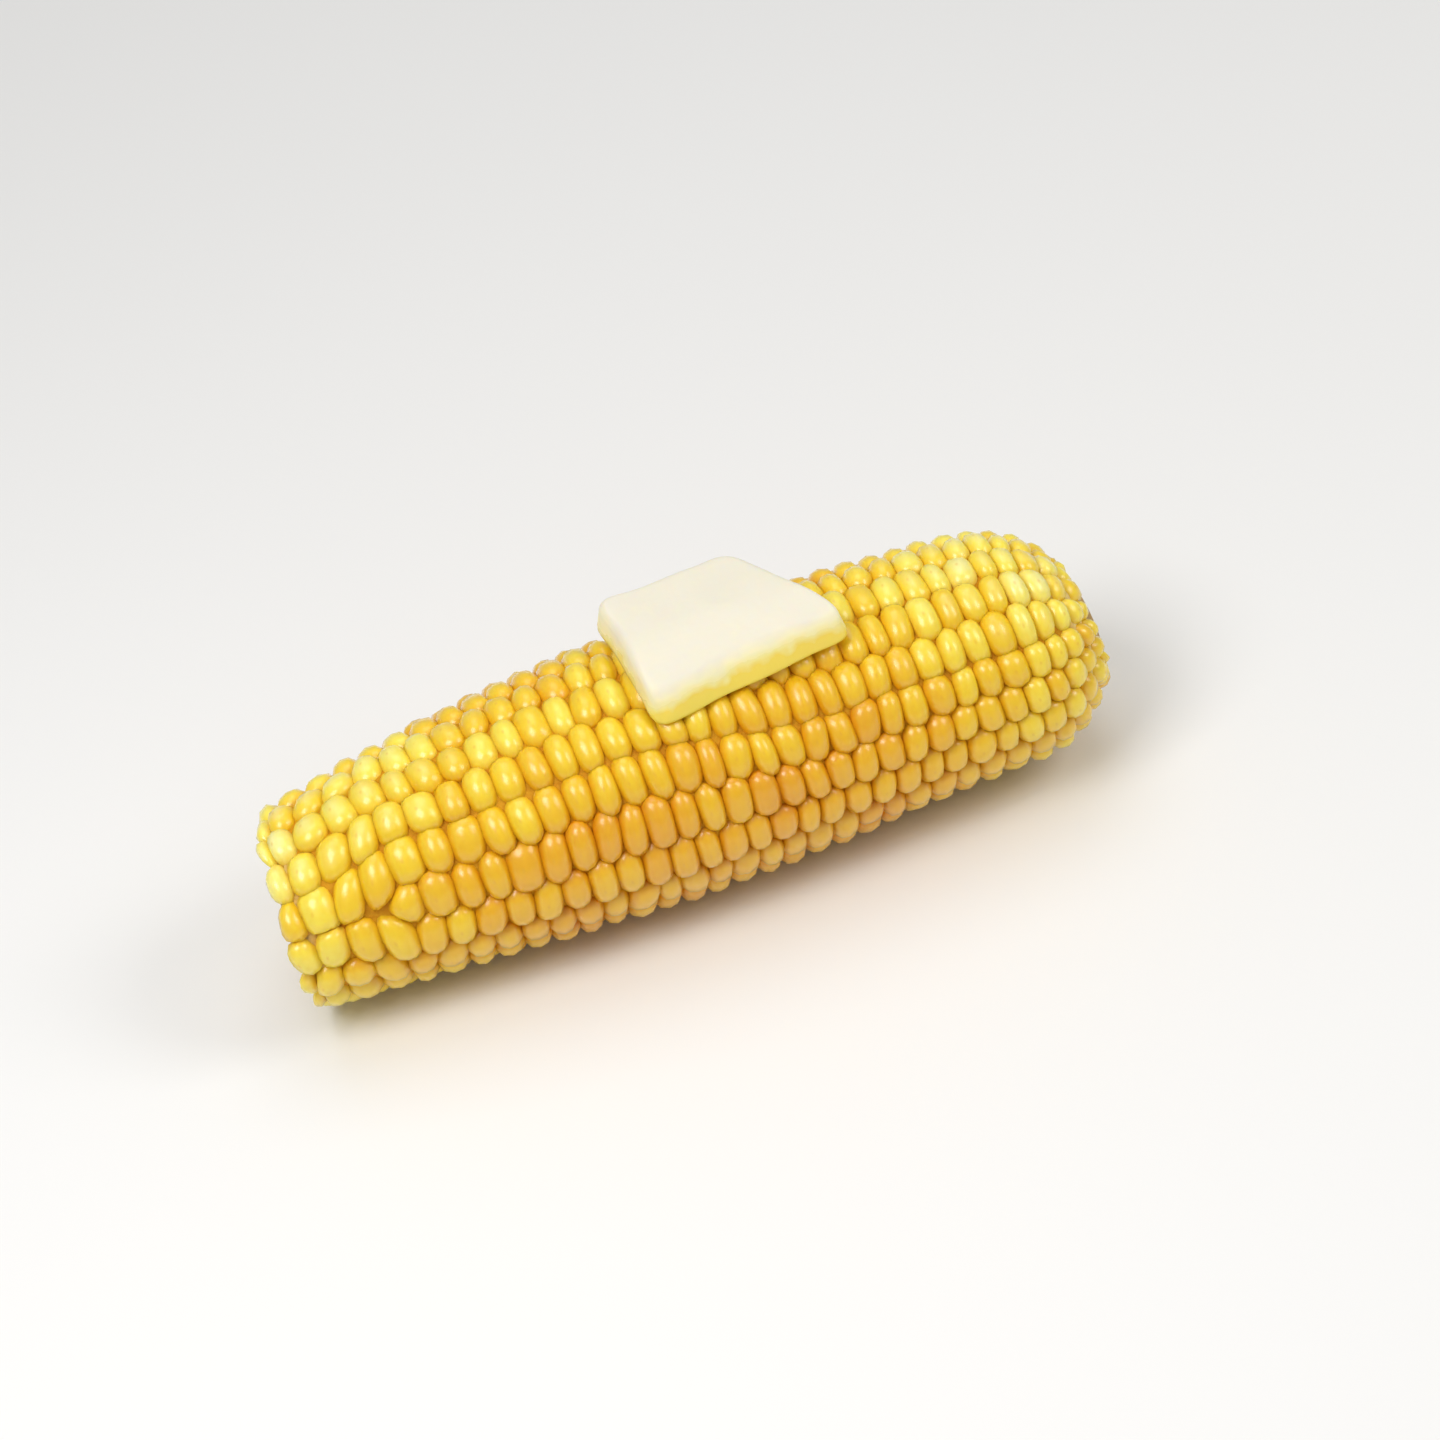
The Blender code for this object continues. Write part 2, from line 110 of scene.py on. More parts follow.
def core_radius(u):
    to_tip = np.clip((BELLY_AT - u) / BELLY_AT, 0.0, 1.0)
    to_stalk = np.clip((u - BELLY_AT) / (EAR_LENGTH - BELLY_AT), 0.0, 1.0)
    thin = (CORE_BELLY_RADIUS - CORE_TIP_RADIUS) * to_tip**2
    return CORE_BELLY_RADIUS - thin - (CORE_BELLY_RADIUS - CORE_STALK_RADIUS) * to_stalk**2


def turned(profile, sides):
    """Points and faces of a closed body turned round the ear's axis. The profile runs from tip to stalk."""
    angles = 2.0 * math.pi * np.arange(sides) / sides
    rings = [ear_points(np.full(sides, u), np.full(sides, radius), angles) for u, radius in profile]
    ends = (profile[0][0], profile[-1][0])
    poles = [ear_points(np.array([u]), np.array([0.0]), np.array([0.0])) for u in ends]
    faces = []
    for ring in range(len(profile) - 1):
        for side in range(sides):
            after = (side + 1) % sides
            one, other = ring * sides, (ring + 1) * sides
            faces.append((one + side, one + after, other + after, other + side))
    first_pole, last = len(profile) * sides, (len(profile) - 1) * sides
    for side in range(sides):
        after = (side + 1) % sides
        faces.append((first_pole, after, side))
        faces.append((first_pole + 1, last + side, last + after))
    return np.concatenate(rings + poles), faces


def new_mesh_object(name, points, faces, material):
    """A smooth mesh object with its faces turned out."""
    mesh = bpy.data.meshes.new(name)
    mesh.from_pydata([tuple(point) for point in points], [], faces)
    mesh.validate()
    volume = 0.0
    for face in faces:
        first, second, third = (Vector(points[corner]) for corner in face[:3])
        volume += first.dot(second.cross(third))
    if volume < 0.0:
        mesh.flip_normals()
    mesh.shade_smooth()
    mesh.materials.append(material)
    made = bpy.data.objects.new(name, mesh)
    bpy.context.scene.collection.objects.link(made)
    return made


def node(tree, kind, inputs=None, **settings):
    """Adds a node. Each input is given by name or number, as a value or as the output that feeds it."""
    made = tree.nodes.new(kind)
    for name, value in settings.items():
        setattr(made, name, value)
    for name, value in (inputs or {}).items():
        if isinstance(value, bpy.types.NodeSocket):
            tree.links.new(value, made.inputs[name])
        else:
            made.inputs[name].default_value = value
    return made


def ramp(tree, factor, stops):
    """A colour ramp through the stops, each a place from 0 to 1 and a colour."""
    made = node(tree, "ShaderNodeValToRGB", {0: factor})
    while len(made.color_ramp.elements) < len(stops):
        made.color_ramp.elements.new(0.5)
    for element, (place, colour) in zip(made.color_ramp.elements, stops):
        element.position = place
        element.color = (*colour, 1.0)
    return made.outputs["Color"]


def noise_on(tree, coordinates, size, detail=2.0):
    """Noise whose lumps have about this size in metres, from 0 to 1."""
    made = node(tree, "ShaderNodeTexNoise", {"Vector": coordinates, "Scale": 1.0 / size, "Detail": detail})
    return made.outputs[0]


def product(tree, one, other, added=0.0):
    """One value times another, with a third added."""
    return node(tree, "ShaderNodeMath", {0: one, 1: other, 2: added}, operation="MULTIPLY_ADD").outputs[0]


def roughened(tree, shader, height, distance, strength=1.0):
    """Gives the surface fine relief from a height between 0 and 1."""
    bump = node(tree, "ShaderNodeBump", {"Height": height, "Strength": strength, "Distance": distance})
    tree.links.new(bump.outputs["Normal"], shader.inputs["Normal"])


def new_material(name, settings):
    """A material, its node tree and its shader, with the shader's even values set."""
    made = bpy.data.materials.new(name)
    made.use_nodes = True
    shader = made.node_tree.nodes["Principled BSDF"]
    for socket, value in settings.items():
        shader.inputs[socket].default_value = value
    return made, made.node_tree, shader


cob_wood, tree, shader = new_material("cob wood", {
    "Roughness": 0.62, "Specular IOR Level": 0.35, "Subsurface Weight": 0.25, "Subsurface Scale": 1.0,
})
shader.inputs["Subsurface Radius"].default_value = (0.0016, 0.0011, 0.0006)
spot = node(tree, "ShaderNodeTexCoord").outputs["Object"]
place = node(tree, "ShaderNodeAttribute", attribute_name="from_axis").outputs["Fac"]
rings = ramp(tree, product(tree, noise_on(tree, spot, RING_WAVE_SIZE), RING_WAVE, place), [
    (0.00, PITH_COLOUR), (0.44, PITH_COLOUR), (0.56, (0.64, 0.47, 0.22)), (0.68, (0.78, 0.63, 0.35)),
    (0.92, (0.66, 0.50, 0.25)), (1.00, (0.50, 0.33, 0.13)),
])
tree.links.new(rings, shader.inputs["Base Color"])
pores = node(tree, "ShaderNodeTexVoronoi", {"Vector": spot, "Scale": 1.0 / PORE_SIZE}).outputs["Distance"]
roughened(tree, shader, pores, PORE_DEPTH, 0.6)


def cut_face(u, into):
    """The profile of a cut end, from the middle out: the pith has shrunk a little below the wood."""
    radius = core_radius(u)
    shares = np.linspace(0.0, 1.0, CORE_FACE_RINGS + 1)[1:]
    hollow = np.clip((PITH_SHARE + PITH_RIM / 2.0 - shares) / PITH_RIM, 0.0, 1.0)
    return [(u + into * PITH_DEPTH * h, radius * share) for share, h in zip(shares, hollow)]


side_u = np.linspace(CORE_TIP_INSET, stalk_cut, CORE_LENGTH_RINGS + 2)[1:-1]
profile = cut_face(CORE_TIP_INSET, 1.0) + list(zip(side_u, core_radius(side_u)))
profile += cut_face(stalk_cut, -1.0)[::-1]
points, faces = turned(profile, CORE_SIDES)
for index, (u, radius) in enumerate(profile):
    if radius < core_radius(u) * FIBRE_REACH:
        for side in range(CORE_SIDES):
            point = points[index * CORE_SIDES + side]
            point[0] += FIBRE_DEPTH * noise.noise(Vector(point) / FIBRE_SIZE)
cob = new_mesh_object("cob", points, faces, cob_wood)
shares = [radius / core_radius(u) for u, radius in profile for _ in range(CORE_SIDES)] + [0.0, 0.0]
cob.data.attributes.new("from_axis", "FLOAT", "POINT").data.foreach_set("value", shares)
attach(cob, "root")
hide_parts("cob_core")


# The bed of chaff
# The thin husks that hold the foot of each kernel, pressed into one spongy layer over the wood. It closes
# the gaps between the kernels and shows as a ring at the two cut ends.

BELLY_RADIUS = 0.0255
TIP_TAPER = 0.26
TIP_TAPER_POWER = 1.55
TIP_ROUNDING = 0.0042
TIP_ROUNDING_SHARE = 0.18
TIP_ROUNDING_REACH = 0.94
STALK_TAPER = 0.125
STALK_TAPER_POWER = 1.2
SHOULDER_AT = 0.1372
SHOULDER_DEPTH = 0.0204
KERNEL_END_AT = 0.1554

BED_DEPTH = 0.0025
BED_TIP_INSET = 0.0022
BED_STALK_INSET = 0.0036
BED_DISH = 0.0022
BED_FOOT = 0.0012
BED_SIDES = 128
BED_RINGS = 60
BED_FACE_RINGS = 8
# Its tip face starts inside the cob, this share of the way out
BED_FACE_START = 0.8
HUSK_DEPTH = 0.0005
HUSK_SIZE = 0.0013
CHAFF_CLOUD = 0.0018
CHAFF_GRAIN = 0.0006
CHAFF_GRAIN_DEPTH = 0.0003
# It is dry and straw coloured to this depth from a cut; past the next it is moist orange with painted shade
DRY_DEPTH = 0.0018
MOIST_SHADE_DEPTH = 0.0045


def crown_radius(u):
    """Radius of the ear over the kernels' crowns: a belly, a taper to each end, and rounded ends."""
    to_tip = np.clip((BELLY_AT - u) / BELLY_AT, 0.0, 1.0)
    to_stalk = np.clip((u - BELLY_AT) / (SHOULDER_AT - BELLY_AT), 0.0, 1.0)
    taper = TIP_TAPER * to_tip**TIP_TAPER_POWER + STALK_TAPER * to_stalk**STALK_TAPER_POWER
    in_tip = TIP_ROUNDING_REACH * np.clip(1.0 - u / TIP_ROUNDING, 0.0, 1.0)
    tip_round = 1.0 - TIP_ROUNDING_SHARE * (1.0 - np.sqrt(1.0 - in_tip**2))
    over_shoulder = np.clip((u - SHOULDER_AT) / SHOULDER_DEPTH, 0.0, 1.0)
    return BELLY_RADIUS * (1.0 - taper) * tip_round * np.sqrt(1.0 - over_shoulder**2)


def eased(tree, value, start, end, low, high):
    """Goes from low to high while the value goes from start to end."""
    return node(tree, "ShaderNodeMapRange", {0: value, 1: start, 2: end, 3: low, 4: high}).outputs[0]


def blended(tree, share, one, other, way="MIX"):
    """One colour with this share of the other laid over it."""
    made = node(tree, "ShaderNodeMix", {0: share, 6: one, 7: other}, data_type="RGBA", blend_type=way)
    return made.outputs[2]


chaff, tree, shader = new_material("chaff", {
    "Roughness": 0.7, "Subsurface Weight": 0.2, "Subsurface Scale": 1.0, "Specular IOR Level": 0.2,
})
shader.inputs["Subsurface Radius"].default_value = (0.0012, 0.0007, 0.0003)
spot = node(tree, "ShaderNodeTexCoord").outputs["Object"]
spotty = noise_on(tree, spot, CHAFF_CLOUD, 3.0)
# Painted shade: between the kernels the chaff is darkened to stand in for the shade in the creases
gap_tone_and_shade = ramp(tree, spotty, [(0.3, (0.55, 0.23, 0.004)), (0.7, (0.68, 0.33, 0.010))])
where_cut = ramp(tree, spotty, [(0.3, (0.82, 0.55, 0.15)), (0.7, (0.90, 0.70, 0.29))])
from_cut = node(tree, "ShaderNodeAttribute", attribute_name="from_cut").outputs["Fac"]
dry = eased(tree, from_cut, DRY_DEPTH, MOIST_SHADE_DEPTH, 1.0, 0.0)
tree.links.new(blended(tree, dry, gap_tone_and_shade, where_cut), shader.inputs["Base Color"])
roughened(tree, shader, noise_on(tree, spot, CHAFF_GRAIN, 3.0), CHAFF_GRAIN_DEPTH)

bed_start, bed_end = BED_TIP_INSET, KERNEL_END_AT - BED_STALK_INSET
bed_u = np.linspace(bed_start + BED_DISH, bed_end, BED_RINGS)
bed_radius = np.maximum(crown_radius(bed_u) - BED_DEPTH, core_radius(bed_u) + BED_FOOT)
# The tip face slopes in from the cob to the foot of the kernels, and the stalk face is flat
inmost = core_radius(bed_start) * BED_FACE_START
tip_radius = np.linspace(inmost, bed_radius[0], BED_FACE_RINGS + 1)[:-1]
slope_in = np.linspace(0.0, BED_DISH, BED_FACE_RINGS + 1)[:-1]
profile = [(bed_start + BED_DISH, tip_radius[0])] + list(zip(bed_start + slope_in, tip_radius))
profile += list(zip(bed_u, bed_radius))
face_shares = np.linspace(0.0, 1.0, BED_FACE_RINGS + 1)[1:-1]
profile += [(bed_end, bed_radius[-1] * share) for share in face_shares[::-1]]
points, faces = turned(profile, BED_SIDES)
for point in points:
    point[0] += HUSK_DEPTH * noise.noise(Vector(point) / HUSK_SIZE)
bed = new_mesh_object("chaff_bed", points, faces, chaff)
cut_depths = [min(u - bed_start, bed_end - u) for u, _ in profile for _ in range(BED_SIDES)] + [0.0, 0.0]
bed.data.attributes.new("from_cut", "FLOAT", "POINT").data.foreach_set("value", cut_depths)
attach(bed, "root")


# The husks at the cut ends
# Papery scales called glumes, which sheathed the foot of each kernel. A knife has opened them at both ends,
# where they stand in rings round the cob, pale, dry and curled. Each is about two millimetres long.

GLUME_LENGTH = 0.0021
GLUME_WIDTH = 0.0016
GLUME_THICKNESS = 0.00008
GLUME_CUP = 0.45
GLUME_LIFT = math.radians(14.0)
GLUME_LIFT_SPREAD = math.radians(14.0)
GLUME_SIZES = (0.6, 1.15)
# How far a scale strays round its ring, as a share of the space it has, and out of it
GLUME_STRAY = 0.25
GLUME_STRAY_OUT = 0.0002
GLUME_SEED = 5
GLUME_CLOUD = 0.0015
GLUME_GRAIN = 0.0003
GLUME_GRAIN_DEPTH = 0.00006
# They root just below the face of the chaff at the tip, and just above it at the stalk
GLUME_SINK_AT_TIP = 0.0001
GLUME_RISE_AT_STALK = 0.0002
# A scale's width, as a share of the full one, at places along it from foot to edge
GLUME_SHAPE = ((0.0, 0.55), (0.4, 1.0), (0.8, 0.85), (1.0, 0.35))
tip_inset = BED_TIP_INSET + GLUME_SINK_AT_TIP
stalk_inset = EAR_LENGTH - KERNEL_END_AT + BED_STALK_INSET - GLUME_RISE_AT_STALK
# For each end of the ear: which way it faces, how far in its rings lie, and each ring's height over the cob
# with the number of its scales
GLUME_RINGS = {
    "tip": (-1.0, tip_inset, ((0.0002, 34), (0.0012, 38), (0.0023, 42))),
    "stalk": (1.0, stalk_inset, ((0.0002, 28), (0.0010, 32))),
}

husk, tree, shader = new_material("papery husk", {
    "Roughness": 0.55, "Subsurface Weight": 0.4, "Subsurface Scale": 1.0, "Specular IOR Level": 0.3,
})
shader.inputs["Subsurface Radius"].default_value = (0.0010, 0.0008, 0.0005)
spot = node(tree, "ShaderNodeTexCoord").outputs["Object"]
along = node(tree, "ShaderNodeAttribute", attribute_name="along_scale").outputs["Fac"]
faded = product(tree, noise_on(tree, spot, GLUME_CLOUD), 0.5, along)
tone = ramp(tree, faded, [(0.2, (0.80, 0.50, 0.11)), (0.6, (0.88, 0.64, 0.21)), (1.0, (0.93, 0.78, 0.38))])
tree.links.new(tone, shader.inputs["Base Color"])
roughened(tree, shader, noise_on(tree, spot, GLUME_GRAIN), GLUME_GRAIN_DEPTH, 0.5)

# One scale: a cupped oval with its foot at the origin, its length along X and its face up
scale_points, scale_faces, along_scale = [], [], []
for side in (1.0, -1.0):
    for share, width in GLUME_SHAPE:
        for across in (-1.0, 0.0, 1.0):
            cup = GLUME_CUP * GLUME_WIDTH / 2.0 * (across**2 * width + share**2)
            height = cup + side * GLUME_THICKNESS / 2.0
            scale_points.append((share * GLUME_LENGTH, across * width * GLUME_WIDTH / 2.0, height))
            along_scale.append(share)
columns, under = 3, 3 * len(GLUME_SHAPE)
for row in range(len(GLUME_SHAPE) - 1):
    for column in range(columns - 1):
        corner = row * columns + column
        quad = (corner, corner + columns, corner + columns + 1, corner + 1)
        scale_faces += [quad, tuple(under + index for index in quad[::-1])]
# Round its edge: along the foot, up one side, back over the far end and down the other side
edge = list(range(columns)) + list(range(2 * columns - 1, under, columns))
edge += list(range(under - 2, under - columns - 1, -1)) + list(range(under - 2 * columns, 0, -columns))
for one, other in zip(edge, edge[1:] + edge[:1]):
    scale_faces.append((one, other, under + other, under + one))
one_glume = new_mesh_object("one_glume", scale_points, scale_faces, husk)
one_glume.data.attributes.new("along_scale", "FLOAT", "POINT").data.foreach_set("value", along_scale)

# One point for each scale, with the turn that lays it outwards from the cob
draw = random.Random(GLUME_SEED)
glume_seats, glume_turns = [], []
for facing_x, inset, rings in GLUME_RINGS.values():
    for out, number in rings:
        for step in range(number):
            bearing = 2.0 * math.pi * (step + draw.uniform(-GLUME_STRAY, GLUME_STRAY)) / number
            at = inset if facing_x < 0.0 else EAR_LENGTH - inset
            radius = core_radius(at) + out + draw.uniform(-GLUME_STRAY_OUT, GLUME_STRAY_OUT)
            glume_seats.append(ear_points(at, radius, bearing).tolist())
            outwards = Vector((0.0, -math.cos(bearing), math.sin(bearing)))
            face_up = Vector((facing_x, 0.0, 0.0))
            turned_out = Matrix((outwards, face_up.cross(outwards), face_up)).transposed()
            lift = GLUME_LIFT + draw.uniform(-GLUME_LIFT_SPREAD, GLUME_LIFT_SPREAD)
            lifted = turned_out @ Matrix.Rotation(-lift, 3, "Y")
            glume_turns += list(lifted.to_euler())
glume_mesh = bpy.data.meshes.new("glumes")
glume_mesh.from_pydata(glume_seats, [], [])
glume_mesh.attributes.new("turn", "FLOAT_VECTOR", "POINT").data.foreach_set("vector", glume_turns)
glume_field = bpy.data.objects.new("glume_field", glume_mesh)
bpy.context.scene.collection.objects.link(glume_field)

tree = bpy.data.node_groups.new("Scales in rings", "GeometryNodeTree")
sockets = {}
for name, kind in (
    ("Geometry", "Geometry"), ("Scale", "Object"), ("Smallest", "Float"), ("Largest", "Float"),
    ("Seed", "Int"), ("Husk", "Material"),
):
    sockets[name] = tree.interface.new_socket(name=name, in_out="INPUT", socket_type=f"NodeSocket{kind}")
tree.interface.new_socket(name="Geometry", in_out="OUTPUT", socket_type="NodeSocketGeometry")
given = node(tree, "NodeGroupInput").outputs
shape = node(tree, "GeometryNodeObjectInfo", {"Object": given["Scale"]}).outputs["Geometry"]


def point_value(name, kind):
    """The value that a point of the field carries under this name."""
    return node(tree, "GeometryNodeInputNamedAttribute", {"Name": name}, data_type=kind).outputs[0]


turn = node(tree, "FunctionNodeEulerToRotation", {0: point_value("turn", "FLOAT_VECTOR")}).outputs[0]
size = node(tree, "FunctionNodeRandomValue", {
    2: given["Smallest"], 3: given["Largest"], "Seed": given["Seed"],
}, data_type="FLOAT").outputs[1]
rings = node(tree, "GeometryNodeInstanceOnPoints", {
    "Points": given["Geometry"], "Instance": shape, "Scale": size, "Rotation": turn,
}).outputs[0]
real = node(tree, "GeometryNodeRealizeInstances", {0: rings}).outputs[0]
dressed = node(tree, "GeometryNodeSetMaterial", {"Geometry": real, "Material": given["Husk"]}).outputs[0]
node(tree, "NodeGroupOutput", {0: dressed})
growth = glume_field.modifiers.new("Scales in rings", "NODES")
growth.node_group = tree
for name, value in {
    "Scale": one_glume, "Smallest": GLUME_SIZES[0], "Largest": GLUME_SIZES[1], "Seed": GLUME_SEED,
    "Husk": husk,
}.items():
    growth[sockets[name].identifier] = value
graph = bpy.context.evaluated_depsgraph_get()
glume_rings = bpy.data.meshes.new_from_object(glume_field.evaluated_get(graph), depsgraph=graph)
for leftover in (glume_field, one_glume):
    bpy.data.objects.remove(leftover)
glumes = bpy.data.objects.new("glumes", glume_rings)
bpy.context.scene.collection.objects.link(glumes)
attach(glumes, "root")


# The kernels
# Plump cooked seeds in 18 lengthwise rows, pressed side against side, each a rounded crown on a body that
# narrows to its foot. The skin is thin, wet and a little see-through, and no two kernels have quite the same
# size and tone.

ROWS = 18
FIRST_ROW_ANGLE = math.radians(37.2)
TIP_TWIST = math.radians(6.0)
TIP_TWIST_TO = 0.043
STALK_TWIST = math.radians(-7.3)
STALK_TWIST_FROM = 0.057
STALK_TWIST_TO = 0.1055
# This row, and about this many to either side of it, are broader than the rest, but narrower at the stalk
UNEVEN_ROW = 17
UNEVEN_REACH = 1.6
BROADENING = 0.15
CROWDING = 0.15
ROW_WOBBLE = math.radians(0.7)
WOBBLE_LENGTH = 0.045
ROW_WIDTH_SPREAD = 0.03
# Rows that start short of the tip end, by number, and where their valleys part. Their neighbours make room
LATE_ROWS = {17: 0.0150, 8: 0.0235}
LATE_ROW_FIRST_WIDTH = 0.85
LATE_ROW_OPENING = 0.007
LATE_ROW_GROWTH = 0.015
# Their first cell is this many kernels long, and bare for this share of its length
LATE_ROW_FIRST_LENGTH = 1.66
LATE_ROW_GAP = 0.38
ROOM_BEFORE = 0.0080
ROOM_AFTER = 0.0090
KERNEL_PITCH = 0.0048
TIP_PITCH_EXTRA = 0.0009
TIP_PITCH_FADE = 0.030
PITCH_SPREAD = 0.07
ROW_DRIFT = 0.15
SHORTEST_KERNEL = 0.45
HEIGHT_SPREAD = 0.00022
LEAST_RADIUS = 0.001
SEED = 11
SAMPLES = 1200

# A kernel's crown is a grid of this many faces, bent over a dome that ends this far round from its top
CROWN_ALONG = 4
CROWN_ACROSS = 6
CROWN_REACH = math.radians(68.0)
CROWN_HEIGHT = 0.0031
KERNEL_DEPTH = 0.0058
FOOT_SHARE = 0.60
# Each kind of kernel: how square it is from above, how full its dome, how deep its dimple and how common
KERNEL_KINDS = {
    "plump": (2.4, 2.0, 0.00, 5), "squared": (3.0, 2.1, 0.00, 3), "dimpled": (2.6, 2.1, 0.10, 2),
}
DIMPLE_WIDTH = 0.42
# The kernels overlap their cells a little
FILL_ALONG = 1.12
FILL_ACROSS = 1.24
FILL_SPREAD = 0.035
ROW_WIDTH = 0.0095
KERNEL_TILT = math.radians(5.0)
TIP_LOOSENESS = 1.2
UNEVENNESS = 0.00045
UNEVEN_SIZE = 0.0045
# How far apart in the noise two kernels may draw their lumps
UNEVEN_RANGE = 50.0
# The kernels are paler towards these sides: the axis, where that starts and is full, how much
# Towards the top that is painted light from above; towards the tip it is partly youth, partly painted light
PALER_TOWARDS = {
    "tip": ("X", -0.025, -0.075, 0.36), "top": ("Z", 0.032, 0.050, 0.36), "stalk": ("X", 0.030, 0.068, 0.28),
}
OWN_TONE = 0.26
# The tone drifts over the ear and mottles each kernel: the size of the clouds and their strength
TONE_CLOUDS = ((0.016, 0.22), (0.0014, 0.12))
# The colour of a painted highlight on the crowns of the palest kernels
CROWN_HIGHLIGHT = (0.98, 0.92, 0.62, 1.0)
GLOSS_CLOUD = 0.0012
WRINKLE_SIZE = 0.0007
WRINKLE_DEPTH = 0.00012
# Where the scar lies on a kernel that is two wide and long and one high
SILK_SCAR_AT = (-0.20, 0.0, 0.98)
SILK_SCAR = (0.74, 0.40, 0.03, 1.0)


def smoothstep(x):
    x = np.clip(x, 0.0, 1.0)
    return x * x * (3.0 - 2.0 * x)


line_u = np.linspace(0.0, KERNEL_END_AT, SAMPLES)
line_r = crown_radius(line_u)
line_s = np.concatenate([[0.0], np.cumsum(np.hypot(np.diff(line_u), np.diff(line_r)))])
slope_u, slope_r = np.gradient(line_u, line_s), np.gradient(line_r, line_s)
slope = np.hypot(slope_u, slope_r)
pitch = KERNEL_PITCH + TIP_PITCH_EXTRA * np.exp(-line_u / TIP_PITCH_FADE)
line_count = np.concatenate([[0.0], np.cumsum(np.diff(line_s) / ((pitch[1:] + pitch[:-1]) / 2.0))])


def row_lines():
    """Angle of each valley between two rows, all along the ear. A late row opens where it starts."""
    draw = random.Random(SEED)
    widths = np.ones((ROWS, SAMPLES))
    at_stalk = smoothstep((line_u - STALK_TWIST_FROM) / (STALK_TWIST_TO - STALK_TWIST_FROM))
    uneven = BROADENING - (BROADENING + CROWDING) * at_stalk
    for row in range(ROWS):
        widths[row] += draw.uniform(-ROW_WIDTH_SPREAD, ROW_WIDTH_SPREAD)
        apart = math.remainder(row - UNEVEN_ROW, ROWS) / UNEVEN_REACH
        widths[row] *= 1.0 + uneven * math.exp(-(apart**2))
    for row, start in LATE_ROWS.items():
        run = line_s - np.interp(start, line_u, line_s)
        own = LATE_ROW_FIRST_WIDTH * np.clip(run / LATE_ROW_OPENING, 0.0, 1.0)
        own += (1.0 - LATE_ROW_FIRST_WIDTH) * smoothstep(run / LATE_ROW_GROWTH)
        room = smoothstep((run + ROOM_BEFORE) / (ROOM_BEFORE + ROOM_AFTER))
        widths[row] *= own
        for beside in ((row - 1) % ROWS, (row + 1) % ROWS):
            widths[beside] += (room - own) / 2.0
    turn = 2.0 * math.pi
    edges = np.concatenate([np.zeros((1, SAMPLES)), np.cumsum(widths, axis=0)[:-1]])
    angles = turn * edges / widths.sum(axis=0)
    angles -= (angles - turn * np.arange(ROWS)[:, None] / ROWS).mean(axis=0)
    twist = TIP_TWIST * (1.0 - smoothstep(line_u / TIP_TWIST_TO)) + STALK_TWIST * at_stalk
    angles += FIRST_ROW_ANGLE - math.pi / ROWS + twist
    for line in range(ROWS):
        wave = ROW_WOBBLE * np.sin(turn * line_s / WOBBLE_LENGTH + draw.uniform(0.0, turn))
        late = [row for row in LATE_ROWS if line in (row, (row + 1) % ROWS)]
        angles[line] += wave * (0.0 if late else 1.0)
    return angles


def kernel_bounds(row, draw):
    """Where the kernels of a row meet, along the surface. Pairs of rows alternate by about half a kernel."""
    start = float(np.interp(LATE_ROWS.get(row, 0.0), line_u, line_s))
    phase = 0.5 * (row // 2 % 2) + draw.uniform(-ROW_DRIFT, ROW_DRIFT)
    first = float(np.interp(start, line_s, line_count))
    if row in LATE_ROWS:
        first += LATE_ROW_FIRST_LENGTH
        phase = first
    else:
        first += SHORTEST_KERNEL
    last = line_count[-1] - SHORTEST_KERNEL
    bounds = [start]
    for number in range(math.ceil(first - phase), math.floor(last - phase) + 1):
        place = number + phase + draw.uniform(-PITCH_SPREAD, PITCH_SPREAD)
        bounds.append(float(np.interp(place, line_count, line_s)))
    return bounds + [float(line_s[-1])]


def wrapped(flat, angles):
    """Flat points (along the surface, across the rows, height over the crowns) laid round the ear."""
    s, across, height = flat[:, 0], flat[:, 1] / ROW_WIDTH, flat[:, 2]
    row = np.floor(across).astype(int)
    every = np.array([np.interp(s, line_s, line) for line in angles])
    pick = np.arange(len(s))
    low = every[row % ROWS, pick] + 2.0 * math.pi * (row // ROWS)
    high = every[(row + 1) % ROWS, pick] + 2.0 * math.pi * ((row + 1) // ROWS)
    angle = low + (high - low) * (across - row)
    u = np.interp(s, line_s, line_u) - height * np.interp(s, line_s, slope_r / slope)
    r = np.interp(s, line_s, line_r) + height * np.interp(s, line_s, slope_u / slope)
    return ear_points(u, np.maximum(r, LEAST_RADIUS), angle)


